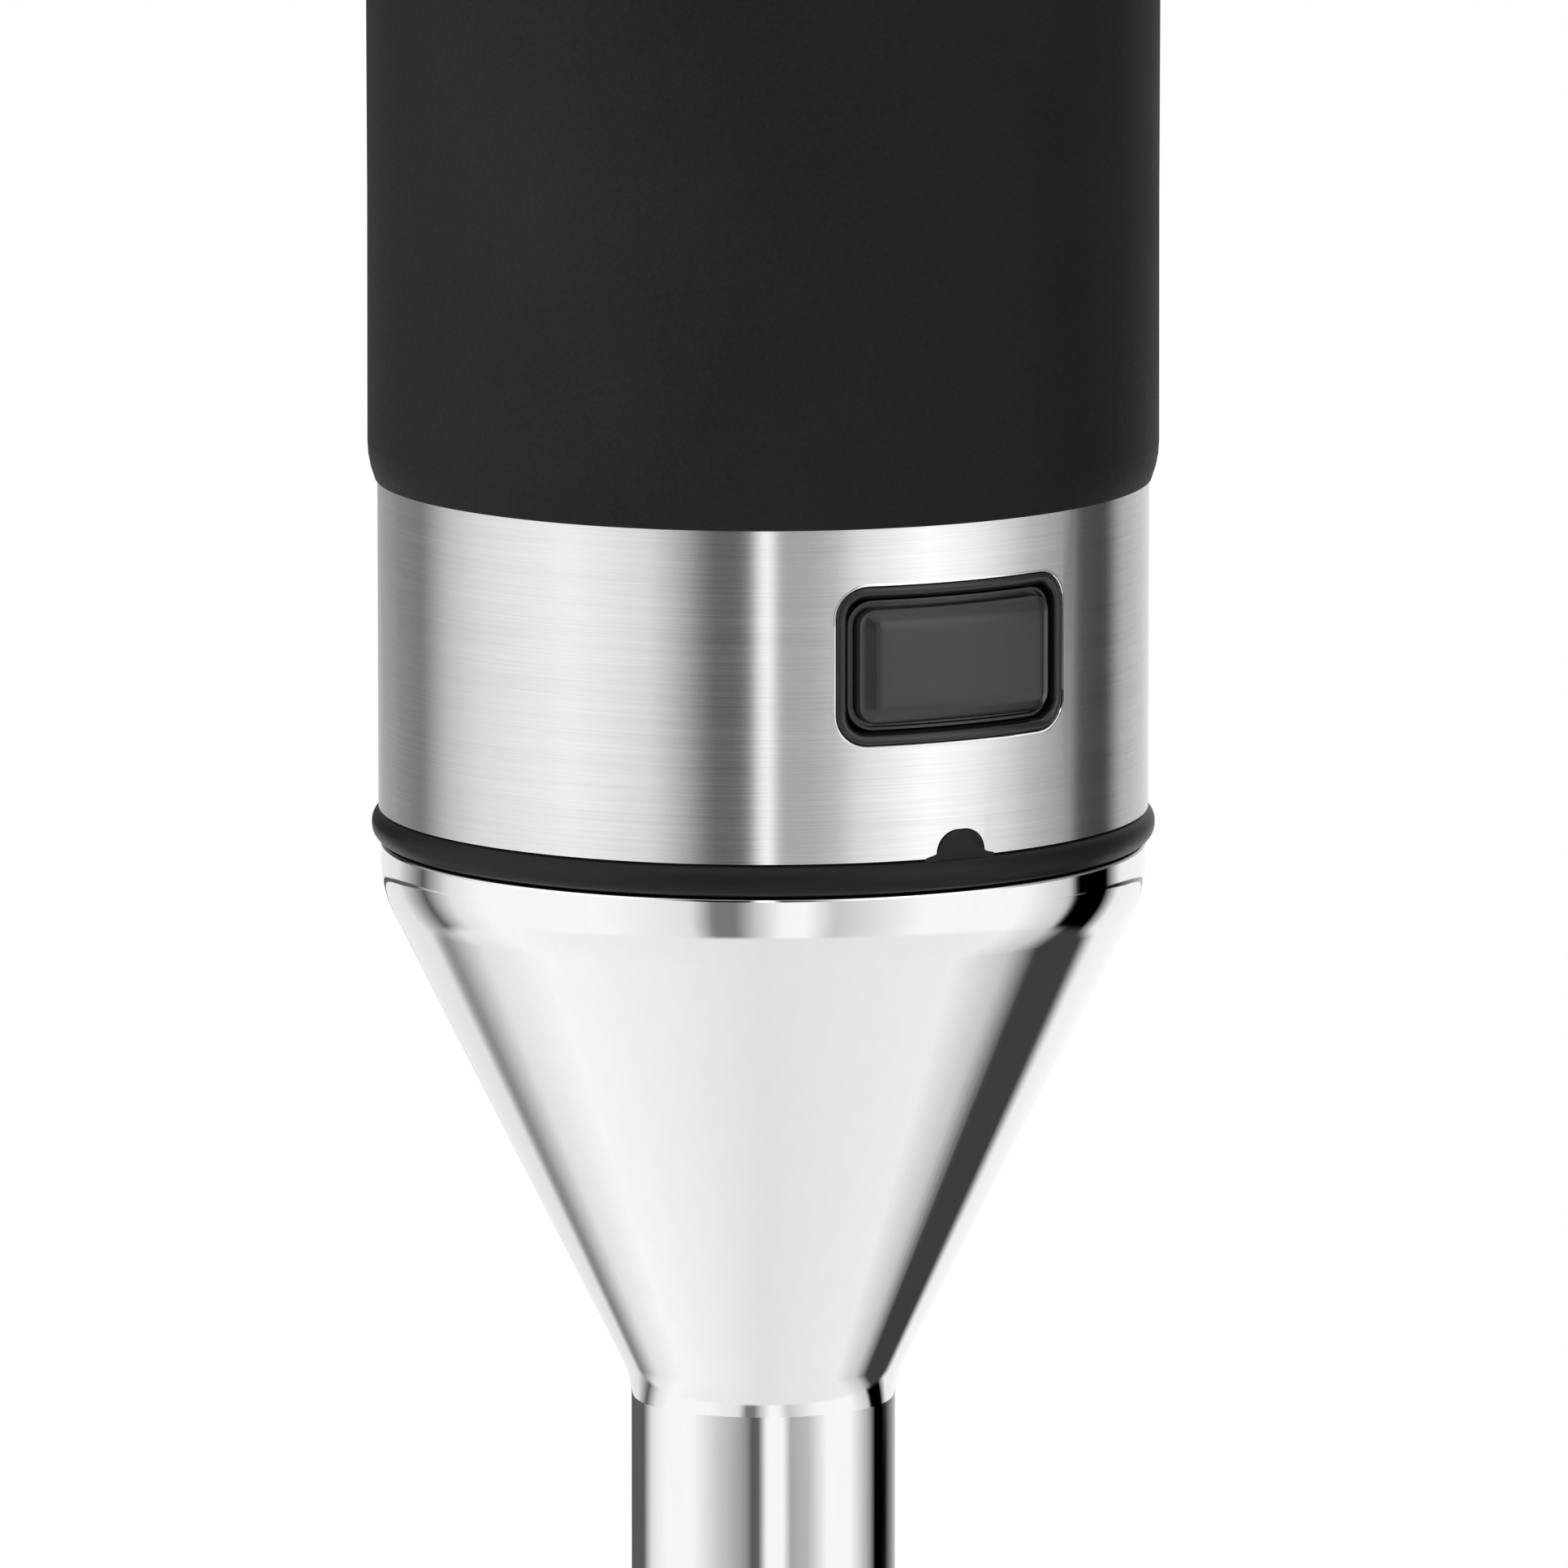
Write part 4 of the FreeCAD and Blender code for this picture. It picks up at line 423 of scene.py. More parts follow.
def moulding(name, colour, dull, shiny, worn_colour, specular=0.5, scale=2500.0, depth=0.00002, tone=0.12,
             wear_and_highlight=0.5):
    """Moulded plastic or rubber: grained, with rubbed edges."""
    material, tree, shader = new_material(name, Specular_IOR_Level=specular)
    grain = use_group(tree, GRAIN, Grain_Scale=scale, Grain_Depth=depth, Dull=dull, Shiny=shiny,
                      Tone_Change=tone)
    edge = use_group(tree, WEAR_AND_HIGHLIGHT, Edge_Width=MOULDING_EDGE, Amount=wear_and_highlight)
    base = mix_colour(tree, edge["Mask"], colour, worn_colour)
    tree.links.new(toned(tree, base, grain["Tone"]), shader.inputs["Base Color"])
    tree.links.new(grain["Roughness"], shader.inputs["Roughness"])
    tree.links.new(grain["Normal"], shader.inputs["Normal"])
    return material


def turned_metal(name, colour, roughness, change, pitch, length, depth, tone, anisotropy, wear_and_highlight=0.3):
    """Metal with fine lines round the axis, and edges painted lighter: partly rubbed bare, partly a painted
    highlight.
    """
    material, tree, shader = new_material(name, Metallic=1.0, Anisotropic=anisotropy,
                                          Anisotropic_Rotation=0.25)
    lines = use_group(tree, TURNED, Line_Pitch=pitch, Line_Length=length, Depth=depth, Tone_Change=tone,
                      Roughness=roughness, Roughness_Change=change)
    edge = use_group(tree, WEAR_AND_HIGHLIGHT, Edge_Width=METAL_EDGE, Amount=wear_and_highlight)
    # edges painted lighter: rubbed bare metal, and a painted highlight along cut edges
    base = mix_colour(tree, edge["Mask"], colour, [min(1.0, c * BARE_METAL_AND_HIGHLIGHT) for c in colour])
    tree.links.new(toned(tree, base, lines["Tone"]), shader.inputs["Base Color"])
    tree.links.new(lines["Roughness"], shader.inputs["Roughness"])
    tree.links.new(lines["Normal"], shader.inputs["Normal"])
    around = tree.nodes.new("ShaderNodeTangent")
    around.direction_type = "RADIAL"
    around.axis = "Z"
    tree.links.new(around.outputs[0], shader.inputs["Tangent"])
    return material


def mirror_steel():
    """Steel sheet polished to a mirror."""
    material, tree, shader = new_material("mirror_steel", Metallic=1.0)
    marks = use_group(tree, POLISH, Haze=0.03, Ripple=0.0000015)
    tree.links.new(toned(tree, (0.93, 0.93, 0.935), marks["Tone"]), shader.inputs["Base Color"])
    tree.links.new(marks["Roughness"], shader.inputs["Roughness"])
    tree.links.new(marks["Normal"], shader.inputs["Normal"])
    return material


def wound_copper():
    """Enamelled wire laid in turns, its strands showing as ridges along the winding."""
    material, tree, shader = new_material("wound_copper", Metallic=0.85, Coat_Weight=0.4, Coat_Roughness=0.2)
    place = tree.nodes.new("ShaderNodeTexCoord").outputs["Object"]
    strands = tree.nodes.new("ShaderNodeTexWave")
    strands.bands_direction = "DIAGONAL"
    strands.inputs["Scale"].default_value = 420.0
    strands.inputs["Distortion"].default_value = 1.2
    strands.inputs["Detail"].default_value = 1.0
    tree.links.new(place, strands.inputs["Vector"])
    base = mix_colour(tree, strands.outputs["Fac"], (0.30, 0.10, 0.035), (0.66, 0.30, 0.13))
    tree.links.new(base, shader.inputs["Base Color"])
    tree.links.new(range_node(tree, noise_node(tree, place, 90.0), 0.28, 0.5), shader.inputs["Roughness"])
    tree.links.new(bump_node(tree, strands.outputs["Fac"], 0.0002), shader.inputs["Normal"])
    return material


def stacked_sheets():
    """Electrical steel punchings, their edges showing as level lines with a little rust bloom."""
    material, tree, shader = new_material("stacked_sheets", Metallic=0.9)
    place = tree.nodes.new("ShaderNodeTexCoord").outputs["Object"]
    sheets = tree.nodes.new("ShaderNodeTexWave")
    sheets.bands_direction = "Z"
    sheets.inputs["Scale"].default_value = 320.0
    sheets.inputs["Distortion"].default_value = 0.1
    tree.links.new(place, sheets.inputs["Vector"])
    bloom = range_node(tree, noise_node(tree, place, 160.0, detail=4.0, roughness=0.6), 0.0, 0.6, 0.5, 0.75)
    steel = mix_colour(tree, sheets.outputs["Fac"], (0.12, 0.12, 0.13), (0.36, 0.37, 0.39))
    tree.links.new(mix_colour(tree, bloom, steel, (0.20, 0.11, 0.06)), shader.inputs["Base Color"])
    tree.links.new(range_node(tree, bloom, 0.35, 0.7), shader.inputs["Roughness"])
    tree.links.new(bump_node(tree, sheets.outputs["Fac"], 0.00015), shader.inputs["Normal"])
    return material


def printed_laminate():
    """Green board: glass weave under the mask, and tracks that show as a slightly lighter relief."""
    material, tree, shader = new_material("printed_laminate", Specular_IOR_Level=0.5, Coat_Weight=0.5,
                                          Coat_Roughness=0.15)
    place = tree.nodes.new("ShaderNodeTexCoord").outputs["Object"]
    tracks = tree.nodes.new("ShaderNodeTexBrick")
    tracks.inputs["Scale"].default_value = 180.0
    tracks.inputs["Mortar Size"].default_value = 0.06
    turned = tree.nodes.new("ShaderNodeMapping")
    turned.inputs["Rotation"].default_value = (math.pi / 2, 0, 0)
    tree.links.new(place, turned.inputs["Vector"])
    tree.links.new(turned.outputs[0], tracks.inputs["Vector"])
    weave = noise_node(tree, scaled_vector(tree, place, (2600.0, 60.0, 2600.0)), 1.0, detail=1.0)
    base = mix_colour(tree, tracks.outputs["Fac"], (0.015, 0.13, 0.05), (0.04, 0.26, 0.11))
    tree.links.new(toned(tree, base, range_node(tree, weave, 0.9, 1.1)), shader.inputs["Base Color"])
    tree.links.new(range_node(tree, weave, 0.3, 0.45), shader.inputs["Roughness"])
    tree.links.new(bump_node(tree, tracks.outputs["Fac"], 0.00004), shader.inputs["Normal"])
    return material


FINISHES = {
    "soft_grip": moulding("soft_touch_coating", (0.0096, 0.0097, 0.0099), 0.6, 0.5, (0.03, 0.03, 0.03),
                          specular=0.1, scale=3200.0, depth=0.00004, tone=0.4, wear_and_highlight=0.15),
    # the strong edge lightening here is mostly a painted highlight along the collar window's cut edge
    "brushed_steel": turned_metal("brushed_collar_steel", (0.72, 0.725, 0.735), 0.205, 0.08, 0.00016, 0.014,
                                  0.000005, 0.36, 1.0, wear_and_highlight=0.8),
    "polished_steel": mirror_steel(),
    "moulded_black": moulding("satin_black_moulding", (0.012, 0.012, 0.0125), 0.5, 0.36, (0.06, 0.06, 0.06),
                              specular=0.4),
    "moulded_grey": moulding("glass_filled_grey", (0.20, 0.205, 0.21), 0.62, 0.48, (0.34, 0.34, 0.34),
                             tone=0.2),
    "moulded_pale": moulding("heat_resistant_pale", (0.62, 0.60, 0.53), 0.55, 0.42, (0.78, 0.77, 0.72),
                             tone=0.1),
    "button_black": moulding("satin_button_black", (0.012, 0.012, 0.0125), 0.27, 0.2, (0.06, 0.06, 0.06),
                             specular=0.6, depth=0.00001),
    "gloss_black": moulding("gloss_frame_black", (0.008, 0.008, 0.0085), 0.2, 0.12, (0.04, 0.04, 0.04),
                            specular=0.5, depth=0.000004),
    "seal_rubber": moulding("silicone_black", (0.006, 0.006, 0.0062), 0.42, 0.32, (0.02, 0.02, 0.02),
                            specular=0.2, depth=0.00001),
    "shaft_steel": turned_metal("ground_shaft_steel", (0.62, 0.62, 0.63), 0.22, 0.06, 0.0001, 0.01, 0.000003,
                                0.12, 0.6),
    "blade_steel": turned_metal("ground_blade_steel", (0.68, 0.68, 0.69), 0.2, 0.06, 0.00025, 0.02, 0.000004,
                                0.15, 0.3),
    "screw_steel": turned_metal("zinc_plate", (0.55, 0.56, 0.58), 0.3, 0.08, 0.0002, 0.01, 0.000003, 0.15,
                                0.2),
    "spring_steel": turned_metal("drawn_spring_wire", (0.45, 0.45, 0.46), 0.25, 0.06, 0.0002, 0.01, 0.000002,
                                 0.15, 0.2),
    "bronze": turned_metal("sintered_bronze", (0.48, 0.30, 0.13), 0.42, 0.1, 0.0003, 0.004, 0.00001, 0.25,
                           0.2),
    "lamination": stacked_sheets(),
    "copper_winding": wound_copper(),
    "copper_bar": turned_metal("turned_copper", (0.72, 0.36, 0.2), 0.25, 0.08, 0.0002, 0.01, 0.000006, 0.2,
                               0.5),
    "brass_sheet": turned_metal("pressed_brass", (0.70, 0.50, 0.20), 0.3, 0.08, 0.0004, 0.01, 0.000004, 0.15,
                                0.2),
    "carbon": moulding("graphite_block", (0.03, 0.03, 0.032), 0.5, 0.35, (0.12, 0.12, 0.12), tone=0.3),
    "switch_body": moulding("component_black", (0.02, 0.02, 0.024), 0.4, 0.25, (0.08, 0.08, 0.08)),
    "circuit_board": printed_laminate(),
    "capacitor_case": moulding("capacitor_yellow", (0.62, 0.42, 0.05), 0.35, 0.22, (0.75, 0.6, 0.3),
                               tone=0.08),
    "lead_insulation": moulding("red_insulation", (0.38, 0.02, 0.015), 0.45, 0.32, (0.5, 0.1, 0.08),
                                tone=0.08),
}

for row in record["subparts"]:
    for place in nodes[row["node"]].material_slots:
        place.material = FINISHES[row["material_slot"]]


# ---------------------------------------------------------------- tools for shapes
SHARP = math.radians(32)
# the rest are in millimetres or are counts of points
SAME_LEVEL = 0.002
TURN_SEGMENTS = 224
LONG_RUN, HOLD = 0.6, 0.06
WINDOW_STEPS = 8
LONG_PARTS, SHORT_PARTS = 26, 12
LEAST_CORNER = 0.15


def add_piece(name, form, body, slot, *replaced, creases=()):
    """Object from a bmesh, on a body and in a finish, smooth but for sharp edges and creases at a height."""
    bmesh.ops.recalc_face_normals(form, faces=form.faces)
    for face in form.faces:
        face.smooth = True
    for edge in form.edges:
        creased = any(all(abs(v.co.z / MM - level) < SAME_LEVEL for v in edge.verts) for level in creases)
        edge.smooth = edge.calc_face_angle(0.0) < SHARP and not creased
    mesh = bpy.data.meshes.new(name)
    form.to_mesh(mesh)
    form.free()
    piece = bpy.data.objects.new(name, mesh)
    bpy.context.scene.collection.objects.link(piece)
    mesh.materials.append(FINISHES[slot])
    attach(piece, body)
    if replaced:
        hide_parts(*replaced)
    return piece


def rounded_corners(corners, steps=10):
    """Closed outline (a, b) from corners (a, b) or (a, b, radius)."""
    points = []
    flat = [Vector(corner[:2]) for corner in corners]
    for i, corner in enumerate(corners):
        here = flat[i]
        radius = corner[2] if len(corner) > 2 else 0.0
        if not radius:
            points.append(here)
            continue
        back = (flat[i - 1] - here).normalized()
        ahead = (flat[(i + 1) % len(corners)] - here).normalized()
        half = back.angle(ahead) / 2
        centre = here + (back + ahead).normalized() * (radius / math.sin(half))
        first = here + back * (radius / math.tan(half)) - centre
        last = here + ahead * (radius / math.tan(half)) - centre
        turn = first.angle(last)
        for k in range(steps + 1):
            share = k / steps
            a, b = math.sin((1 - share) * turn), math.sin(share * turn)
            points.append(centre + (first * a + last * b) / math.sin(turn))
    return points


def spread(points, gap):
    """The closed outline with more points, so that no run of it is longer than gap."""
    result = []
    for i, here in enumerate(points):
        ahead = points[(i + 1) % len(points)]
        parts = max(1, math.ceil((ahead - here).length / gap))
        result += [here.lerp(ahead, k / parts) for k in range(parts)]
    return result


def held(points, gap, hold):
    """The closed outline with a point close to each end of its long runs, which keeps their shading true."""
    result = []
    for i, here in enumerate(points):
        ahead = points[(i + 1) % len(points)]
        result.append(here)
        length = (ahead - here).length
        if length > gap:
            result += [here.lerp(ahead, hold / length), here.lerp(ahead, 1 - hold / length)]
    return result


def bridge_loops(form, loops, closed=False):
    """Quads between loops of the same length; the last joins the first if closed."""
    pairs = list(zip(loops, loops[1:])) + ([(loops[-1], loops[0])] if closed else [])
    for one, two in pairs:
        for i in range(len(one)):
            k = (i + 1) % len(one)
            form.faces.new((one[i], one[k], two[k], two[i]))


def turned_form(corners, steps=10):
    """bmesh turned about Z from corners (r, z) or (r, z, radius), in millimetres."""
    turns = [2 * math.pi * k / TURN_SEGMENTS for k in range(TURN_SEGMENTS)]
    form = bmesh.new()
    loops = []
    for r, z in held(rounded_corners(corners, steps), LONG_RUN, HOLD):
        loops.append([form.verts.new((r * MM * math.cos(t), r * MM * math.sin(t), z * MM)) for t in turns])
    bridge_loops(form, loops, closed=True)
    return form


def window_outline(width, height, corner, inset):
    """Rounded rectangle in x and z, drawn in by inset, in millimetres."""
    half_x, half_z = width / 2 - inset, height / 2 - inset
    radius = max(corner - inset, LEAST_CORNER)
    corners = [(-half_x, -half_z, radius), (half_x, -half_z, radius), (half_x, half_z, radius),
               (-half_x, half_z, radius)]
    return rounded_corners(corners, WINDOW_STEPS)


def window_run(width, height, corner, insets):
    """The same window drawn in by each of the insets, with matching points from one outline to the next."""
    runs = []
    for inset in insets:
        points = window_outline(width, height, corner, inset)
        run = []
        for i, here in enumerate(points):
            ahead = points[(i + 1) % len(points)]
            side, place = divmod(i, WINDOW_STEPS + 1)
            parts = 1 if place < WINDOW_STEPS else (LONG_PARTS, SHORT_PARTS)[side % 2]
            run += [here.lerp(ahead, k / parts) for k in range(parts)]
        runs.append(run)
    return runs


def on_cylinder(x, radius):
    """y of the front of an upright cylinder at x, in millimetres."""
    return -math.sqrt(max(radius * radius - x * x, 0.0))


def front_loop(form, outline, level, depth_at):
    """Loop of the outline at the front, about the height level, with y from depth_at(x)."""
    return [form.verts.new((x * MM, depth_at(x) * MM, (level + z) * MM)) for x, z in outline]


# ---------------------------------------------------------------- the foot's steel and the seal
foot_low, foot_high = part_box("foot_cone")
tube_low, tube_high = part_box("foot_tube")
TUBE_RADIUS = tube_high.x / MM
BAND_RADIUS = foot_high.x / MM
CONE_FOOT = foot_low.z / MM
CONE_TOP = foot_high.z / MM
SHEET = 0.9
CONE_ANGLE = math.radians(26.6)
CONE_LIP = 4.0
CONE_FOOT_BEND = 6.5
CONE_TOP_BEND = 9.0
CONE_STEPS = 9
BAND_RIM = 0.2
SEAL_TUCK = 3.0
SEAL_BULGE = 0.93
SEAL_STEPS = 14


def foot_funnel():
    """Polished tube and cone in one skin each, with fine bends for the reflections."""
    low = CONE_FOOT + CONE_LIP
    high = low + (BAND_RADIUS - TUBE_RADIUS) / math.tan(CONE_ANGLE)
    inset = math.tan(CONE_ANGLE / 2) * SHEET
    corners = [(TUBE_RADIUS - SHEET, CONE_FOOT), (TUBE_RADIUS, CONE_FOOT), (TUBE_RADIUS, low, CONE_FOOT_BEND),
               (BAND_RADIUS, high, CONE_TOP_BEND), (BAND_RADIUS, CONE_TOP, BAND_RIM),
               (BAND_RADIUS - SHEET, CONE_TOP),
               (BAND_RADIUS - SHEET, high + inset, CONE_TOP_BEND - SHEET),
               (TUBE_RADIUS - SHEET, low + inset, CONE_FOOT_BEND + SHEET)]
    bend_end = high + CONE_TOP_BEND * math.tan(CONE_ANGLE / 2)
    add_piece("foot_cone_skin", turned_form(corners, CONE_STEPS), "foot", "polished_steel", "foot_cone",
              creases=(bend_end,))
    low, high = tube_low.z / MM, tube_high.z / MM
    corners = [(TUBE_RADIUS - SHEET, low), (TUBE_RADIUS, low), (TUBE_RADIUS, high),
               (TUBE_RADIUS - SHEET, high)]
    add_piece("foot_tube_skin", turned_form(corners), "foot", "polished_steel", "foot_tube")


def seal_lip():
    """Rubber ring between the collar and the foot, its bulge finely rounded."""
    low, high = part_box("seal_ring")
    outer = high.x / MM
    floor = low.z / MM
    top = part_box("collar_ring")[0].z / MM
    bulge = (top - floor) / 2 * SEAL_BULGE
    inner = outer - SEAL_TUCK
    corners = [(inner, floor), (outer, floor, bulge), (outer, top, bulge), (inner, top)]
    add_piece("seal_lip", turned_form(corners, SEAL_STEPS), "motor_unit", "seal_rubber", "seal_ring")


foot_funnel()
seal_lip()

# ---------------------------------------------------------------- collar: release button, its frame, the mark
PAD_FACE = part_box("release_button")[0].y / MM
COLLAR_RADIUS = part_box("collar_ring")[1].x / MM
COLLAR_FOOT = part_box("collar_ring")[0].z / MM
bezel_low, bezel_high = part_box("release_bezel")
WINDOW_LEVEL = (bezel_low.z + bezel_high.z) / 2 / MM
FRAME_WIDTH, FRAME_HEIGHT, FRAME_CORNER = 21.6, 13.2, 2.6
PAD_WIDTH, PAD_HEIGHT, PAD_CORNER = 18.0, 9.6, 1.5
PLATE_WIDTH, PLATE_HEIGHT, PLATE_CORNER = 19.1, 10.7, 2.05
PAD_CROWN = 0.85
PLATE_DEPTH = 0.95
PLATE_BACK = 29.2
PLATE_RIM = 0.3
PLATE_INSETS = [0.0, 0.0, 0.22, 0.3]
# Gloss frame in the collar's window, with a rolled lip that falls away to the recess. Each row is (drawn in
# from the window's outline, below the collar's surface): sleeve, flange behind the collar, lip, sleeve again.
FRAME_SECTION = [(0.0, 3.15), (0.0, 2.65), (-1.25, 2.65), (-1.25, 1.0), (0.0, 1.0), (0.0, 0.3), (0.05, 0.1),
                 (0.15, -0.02), (0.32, -0.08), (0.55, -0.06), (0.76, 0.03), (0.93, 0.2), (1.05, 0.45),
                 (1.1, 0.8), (1.1, 3.15)]
# Bright line of bare steel round the window, where the sheet was cut, in rows of the same kind
CUT_EDGE = [(-0.22, 0.3), (-0.22, -0.01), (-0.17, -0.04), (-0.06, -0.04), (0.0, 0.02), (0.0, 0.3)]
# (drawn in from the pad's outline, below its face)
PAD_SHOULDER = [(0.0, 2.3), (0.0, 1.0), (0.05, 0.82), (0.2, 0.66), (0.4, 0.53), (0.9, 0.2), (1.05, 0.11),
                (1.22, 0.05), (1.45, 0.01), (1.7, 0.0), (2.3, 0.0), (3.0, 0.0), (3.7, 0.0), (4.5, 0.0)]


def close_window(form, loop):
    """Strips across a window's loop, from its bottom half to the top half above it."""
    count = len(loop)
    start = count - SHORT_PARTS // 2
    below = [loop[(start + k) % count] for k in range(count // 2 + 1)]
    above = [loop[(start - k) % count] for k in range(count // 2 + 1)]
    for k in range(count // 2):
        corners = [below[k], below[k + 1], above[k + 1], above[k]]
        form.faces.new(list(dict.fromkeys(corners)))


def window_ring(name, section, slot, *replaced):
    """Ring round the collar's window that follows the collar's surface, from the rows of its section."""
    form = bmesh.new()
    runs = window_run(FRAME_WIDTH, FRAME_HEIGHT, FRAME_CORNER, [inset for inset, below in section])
    loops = []
    for outline, (inset, below) in zip(runs, section):
        skin = COLLAR_RADIUS - below
        loops.append(front_loop(form, outline, WINDOW_LEVEL, lambda x, skin=skin: on_cylinder(x, skin)))
    bridge_loops(form, loops, closed=True)
    add_piece(name, form, "motor_unit", slot, *replaced)


def release_pad():
    """Raised pad with soft shoulders and a slightly crowned face, on the plate that closes the recess."""
    form = bmesh.new()
    floor = COLLAR_RADIUS - PLATE_DEPTH
    rim = floor + PLATE_RIM
    half = PAD_WIDTH / 2
    plate = window_run(PLATE_WIDTH, PLATE_HEIGHT, PLATE_CORNER, PLATE_INSETS)
    pad = window_run(PAD_WIDTH, PAD_HEIGHT, PAD_CORNER, [inset for inset, below in PAD_SHOULDER])
    # the plate's four loops and the pad's foot lie on cylinders, and the rest of the pad on its crowned face
    depths = [lambda x, skin=skin: on_cylinder(x, skin) for skin in (PLATE_BACK, rim, rim, floor, floor)]
    depths += [lambda x, below=below: PAD_FACE + below + PAD_CROWN * (x / half) ** 2
               for inset, below in PAD_SHOULDER[1:]]
    loops = [front_loop(form, outline, WINDOW_LEVEL, depth) for outline, depth in zip(plate + pad, depths)]
    bridge_loops(form, loops)
    close_window(form, loops[-1])
    close_window(form, loops[0])
    add_piece("release_pad", form, "release", "button_black", "release_button")


TAB_OUTLINE = [(-3.3, -0.4, 0.0), (3.3, -0.4, 0.0), (3.3, 0.05, 0.0), (2.05, 0.35, 0.9), (2.05, 2.25, 1.8),
               (-2.05, 2.25, 1.8), (-2.05, 0.35, 0.9), (-3.3, 0.05, 0.0)]
# (proud of the collar's surface, drawn in from the outline)
TAB_SKINS = [(-0.9, 0.0), (-0.08, 0.0), (0.0, 0.06), (0.02, 0.14)]
TAB_MIDDLE = Vector((0.0, 0.9))
TAB_GAP = 0.4


def alignment_tab():
    """Half-round tab of the seal that stands in the collar's notch and shows how the foot goes on."""
    form = bmesh.new()
    outline = spread(rounded_corners(TAB_OUTLINE), TAB_GAP)
    loops = []
    for proud, inset in TAB_SKINS:
        drawn = [p + (TAB_MIDDLE - p).normalized() * inset for p in outline]
        skin = COLLAR_RADIUS + proud
        loops.append(front_loop(form, drawn, COLLAR_FOOT, lambda x, skin=skin: on_cylinder(x, skin)))
    bridge_loops(form, loops)
    for loop in (loops[0], loops[-1]):
        form.faces.new(loop)
    bmesh.ops.triangulate(form, faces=[f for f in form.faces if len(f.verts) > 4])
    add_piece("alignment_tab", form, "motor_unit", "seal_rubber")


window_ring("release_frame", FRAME_SECTION, "gloss_black", "release_bezel")
window_ring("window_cut", CUT_EDGE, "polished_steel")
release_pad()
alignment_tab()


# ---------------------------------------------------------------- springs
WIRE_SIDES = 12
COIL_STEPS = 28
CLOSED_ENDS = 0.035


def wire_spring(name, node, mean_radius, wire_radius, turns, body):
    """Coil spring along Y where its CAD node is, closed at both ends."""
    low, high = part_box(node)
    x, z = (low.x + high.x) / 2, (low.z + high.z) / 2
    start, end = low.y + wire_radius * MM, high.y - wire_radius * MM
    steps = int(turns * COIL_STEPS)
    form = bmesh.new()
    loops = []
    for i in range(steps + 1):
        share = i / steps
        closed = share + CLOSED_ENDS * math.sin(2 * math.pi * share)
        turn = 2 * math.pi * turns * share
        out = Vector((math.cos(turn), 0.0, math.sin(turn)))
        centre = Vector((x, start + (end - start) * closed, z)) + out * mean_radius * MM
        loop = []
        for k in range(WIRE_SIDES):
            tilt = 2 * math.pi * k / WIRE_SIDES
            loop.append(form.verts.new(centre + out * (wire_radius * MM * math.cos(tilt))
                                       + Vector((0, wire_radius * MM * math.sin(tilt), 0))))
        loops.append(loop)
    bridge_loops(form, loops)
    form.faces.new(loops[0])
    form.faces.new(list(reversed(loops[-1])))
    spring = add_piece(name, form, body, "spring_steel", node)
    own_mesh(spring)


wire_spring("latch_coil", "latch_spring", 1.9, 0.3, 7, "motor_unit")
wire_spring("start_coil", "start_spring", 3.5, 0.2, 3, "motor_unit")
wire_spring("turbo_coil", "turbo_spring", 3.5, 0.2, 3, "motor_unit")

# ---------------------------------------------------------------- printed marks: speeds and key numbers
PRINT_THICK = 0.03
CAST_HEIGHT = 20
NUMERAL_BENDS = 6
TICK_STEPS = 6
JOIN_GAP = 0.001


def lay_print(name, form, node, centre, right, up, body, slot):
    """Thin print that follows a node's surface. form is in millimetres, flat in x and y and thin in z."""
    skin = bmesh.new()
    skin.from_mesh(nodes[node].data)
    tree = BVHTree.FromBMesh(skin)
    skin.free()
    out = right.cross(up)
    for vertex in form.verts:
        above = (centre + right * vertex.co.x + up * vertex.co.y + out * CAST_HEIGHT) * MM
        point = tree.ray_cast(above, -out)[0]
        vertex.co = point + out * vertex.co.z * MM
    add_piece(name, form, body, slot)


def numeral_form(text, height):
    """Flat numeral, centred, with its thickness in z."""
    curve = bpy.data.curves.new("numeral", "FONT")
    curve.body = text
    curve.size = height
    curve.align_x = "CENTER"
    curve.align_y = "CENTER"
    curve.extrude = PRINT_THICK
    curve.resolution_u = NUMERAL_BENDS
    holder = bpy.data.objects.new("numeral", curve)
    bpy.context.scene.collection.objects.link(holder)
    mesh = bpy.data.meshes.new_from_object(holder.evaluated_get(bpy.context.evaluated_depsgraph_get()))
    form = bmesh.new()
    form.from_mesh(mesh)
    bmesh.ops.remove_doubles(form, verts=form.verts, dist=JOIN_GAP)
    bpy.data.objects.remove(holder)
    bpy.data.curves.remove(curve)
    bpy.data.meshes.remove(mesh)
    return form


def tick_form(width, height):
    """Small bar with round ends."""
    form = bmesh.new()
    end = width / 2 - JOIN_GAP
    corners = [(-width / 2, -height / 2, end), (width / 2, -height / 2, end), (width / 2, height / 2, end),
               (-width / 2, height / 2, end)]
    outline = rounded_corners(corners, TICK_STEPS)
    loops = [[form.verts.new((p.x, p.y, level)) for p in outline] for level in (-PRINT_THICK, PRINT_THICK)]
    bridge_loops(form, loops)
    form.faces.new(loops[1])
    form.faces.new(list(reversed(loops[0])))
    return form


SPEEDS = 5
DIAL_TURN = math.radians(270)
SCALE_RADIUS = 19.5
NUMERAL_HEIGHT = 3.1
TICK_WIDTH, TICK_HEIGHT = 0.5, 1.4
POINTER_WIDTH, POINTER_LENGTH, POINTER_INSET = 1.16, 4.96, 1.2
POINTER_DOWN = 0.09


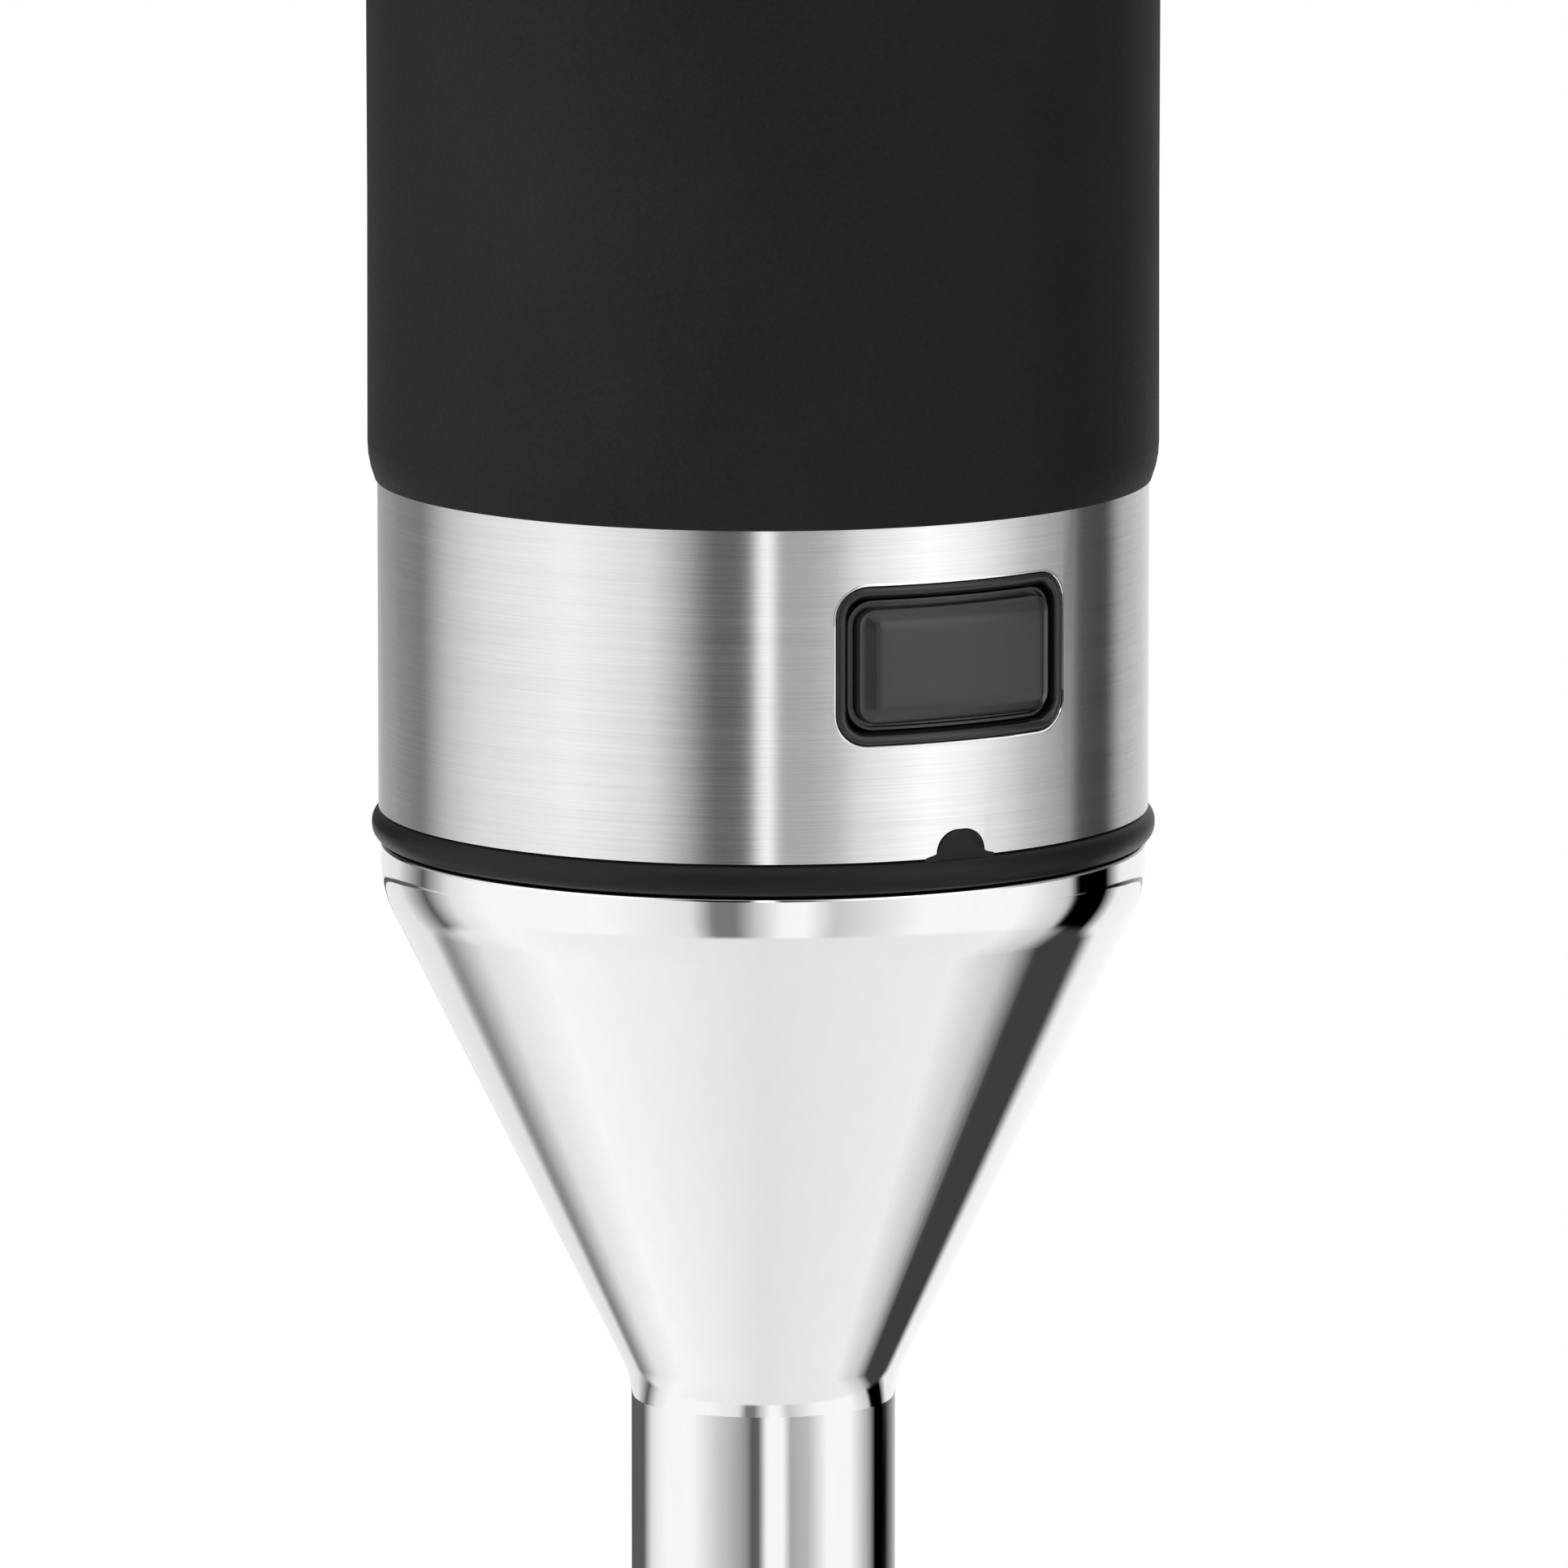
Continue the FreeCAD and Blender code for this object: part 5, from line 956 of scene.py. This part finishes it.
def speed_scale():
    """Numbers round the dial where its pointer stops, with a tick half way between."""
    low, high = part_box("speed_dial")
    centre = (low + high) / 2 / MM
    marks = 2 * SPEEDS - 1
    for i in range(marks):
        turn = DIAL_TURN * i / (marks - 1)
        out = Vector((-math.sin(turn), -math.cos(turn), 0.0))
        up = -out
        right = up.cross(Vector((0, 0, 1)))
        number = i // 2 + 1
        if i % 2:
            name, form = f"speed_tick_{number}", tick_form(TICK_WIDTH, TICK_HEIGHT)
        else:
            name, form = f"speed_number_{number}", numeral_form(str(number), NUMERAL_HEIGHT)
        lay_print(name, form, "top_cap", centre + out * SCALE_RADIUS, right, up, "motor_unit", "moulded_pale")


def dial_pointer():
    """Dark paint in the slot of the dial's disc, just below its face."""
    low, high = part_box("dial_inlay")
    middle = low.y / MM + POINTER_INSET + POINTER_LENGTH / 2
    form = tick_form(POINTER_WIDTH, POINTER_LENGTH)
    for vertex in form.verts:
        x, y, z = vertex.co
        vertex.co = Vector((x, middle + y, high.z / MM - POINTER_DOWN + z)) * MM
    add_piece("dial_pointer", form, "dial", "button_black")


KEY_MARK_HEIGHT = 3.8
KEY_MARK_INSET = 2.6


def key_marks():
    """1 under the start key and 2 over the faster one, on the frame's ends."""
    low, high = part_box("button_frame")
    front = Vector((0, low.y / MM, 0))
    across, up = Vector((1, 0, 0)), Vector((0, 0, 1))
    for text, height in (("1", low.z / MM + KEY_MARK_INSET), ("2", high.z / MM - KEY_MARK_INSET)):
        lay_print(f"key_mark_{text}", numeral_form(text, KEY_MARK_HEIGHT), "button_frame",
                  front + up * height, across, up, "motor_unit", "button_black")


speed_scale()
dial_pointer()
key_marks()

# ---------------------------------------------------------------- floor
# in metres, below the reach of the foot when it is drawn off
FLOOR_LEVEL = -0.0605
FLOOR_RADIUS = 0.6
FLOOR_SEGMENTS = 128
FLOOR_FADE = (0.34, 0.58)


def pale_floor():
    """Pale disc that fades out at its rim and can be seen through from below."""
    mesh = bpy.data.meshes.new("floor")
    form = bmesh.new()
    bmesh.ops.create_circle(form, cap_ends=True, segments=FLOOR_SEGMENTS, radius=FLOOR_RADIUS)
    form.to_mesh(mesh)
    form.free()
    floor = bpy.data.objects.new("floor", mesh)
    floor.location.z = FLOOR_LEVEL
    bpy.context.scene.collection.objects.link(floor)
    material, tree, shader = new_material("pale_floor", Roughness=0.8, Specular_IOR_Level=0.1)
    place = tree.nodes.new("ShaderNodeTexCoord").outputs["Object"]
    length = tree.nodes.new("ShaderNodeVectorMath")
    length.operation = "LENGTH"
    tree.links.new(place, length.inputs[0])
    fade = step_node(tree, length.outputs["Value"], FLOOR_FADE)
    above = math_node(tree, "SUBTRACT", 1.0, tree.nodes.new("ShaderNodeNewGeometry").outputs["Backfacing"])
    alpha = math_node(tree, "MULTIPLY", math_node(tree, "SUBTRACT", 1.0, fade), above)
    tree.links.new(alpha, shader.inputs["Alpha"])
    fleck = noise_node(tree, place, 40.0, detail=3.0)
    tone = range_node(tree, fleck, 0.985, 1.0)
    tree.links.new(toned(tree, (0.9, 0.9, 0.9), tone), shader.inputs["Base Color"])
    mesh.materials.append(material)
    floor.visible_glossy = False


pale_floor()
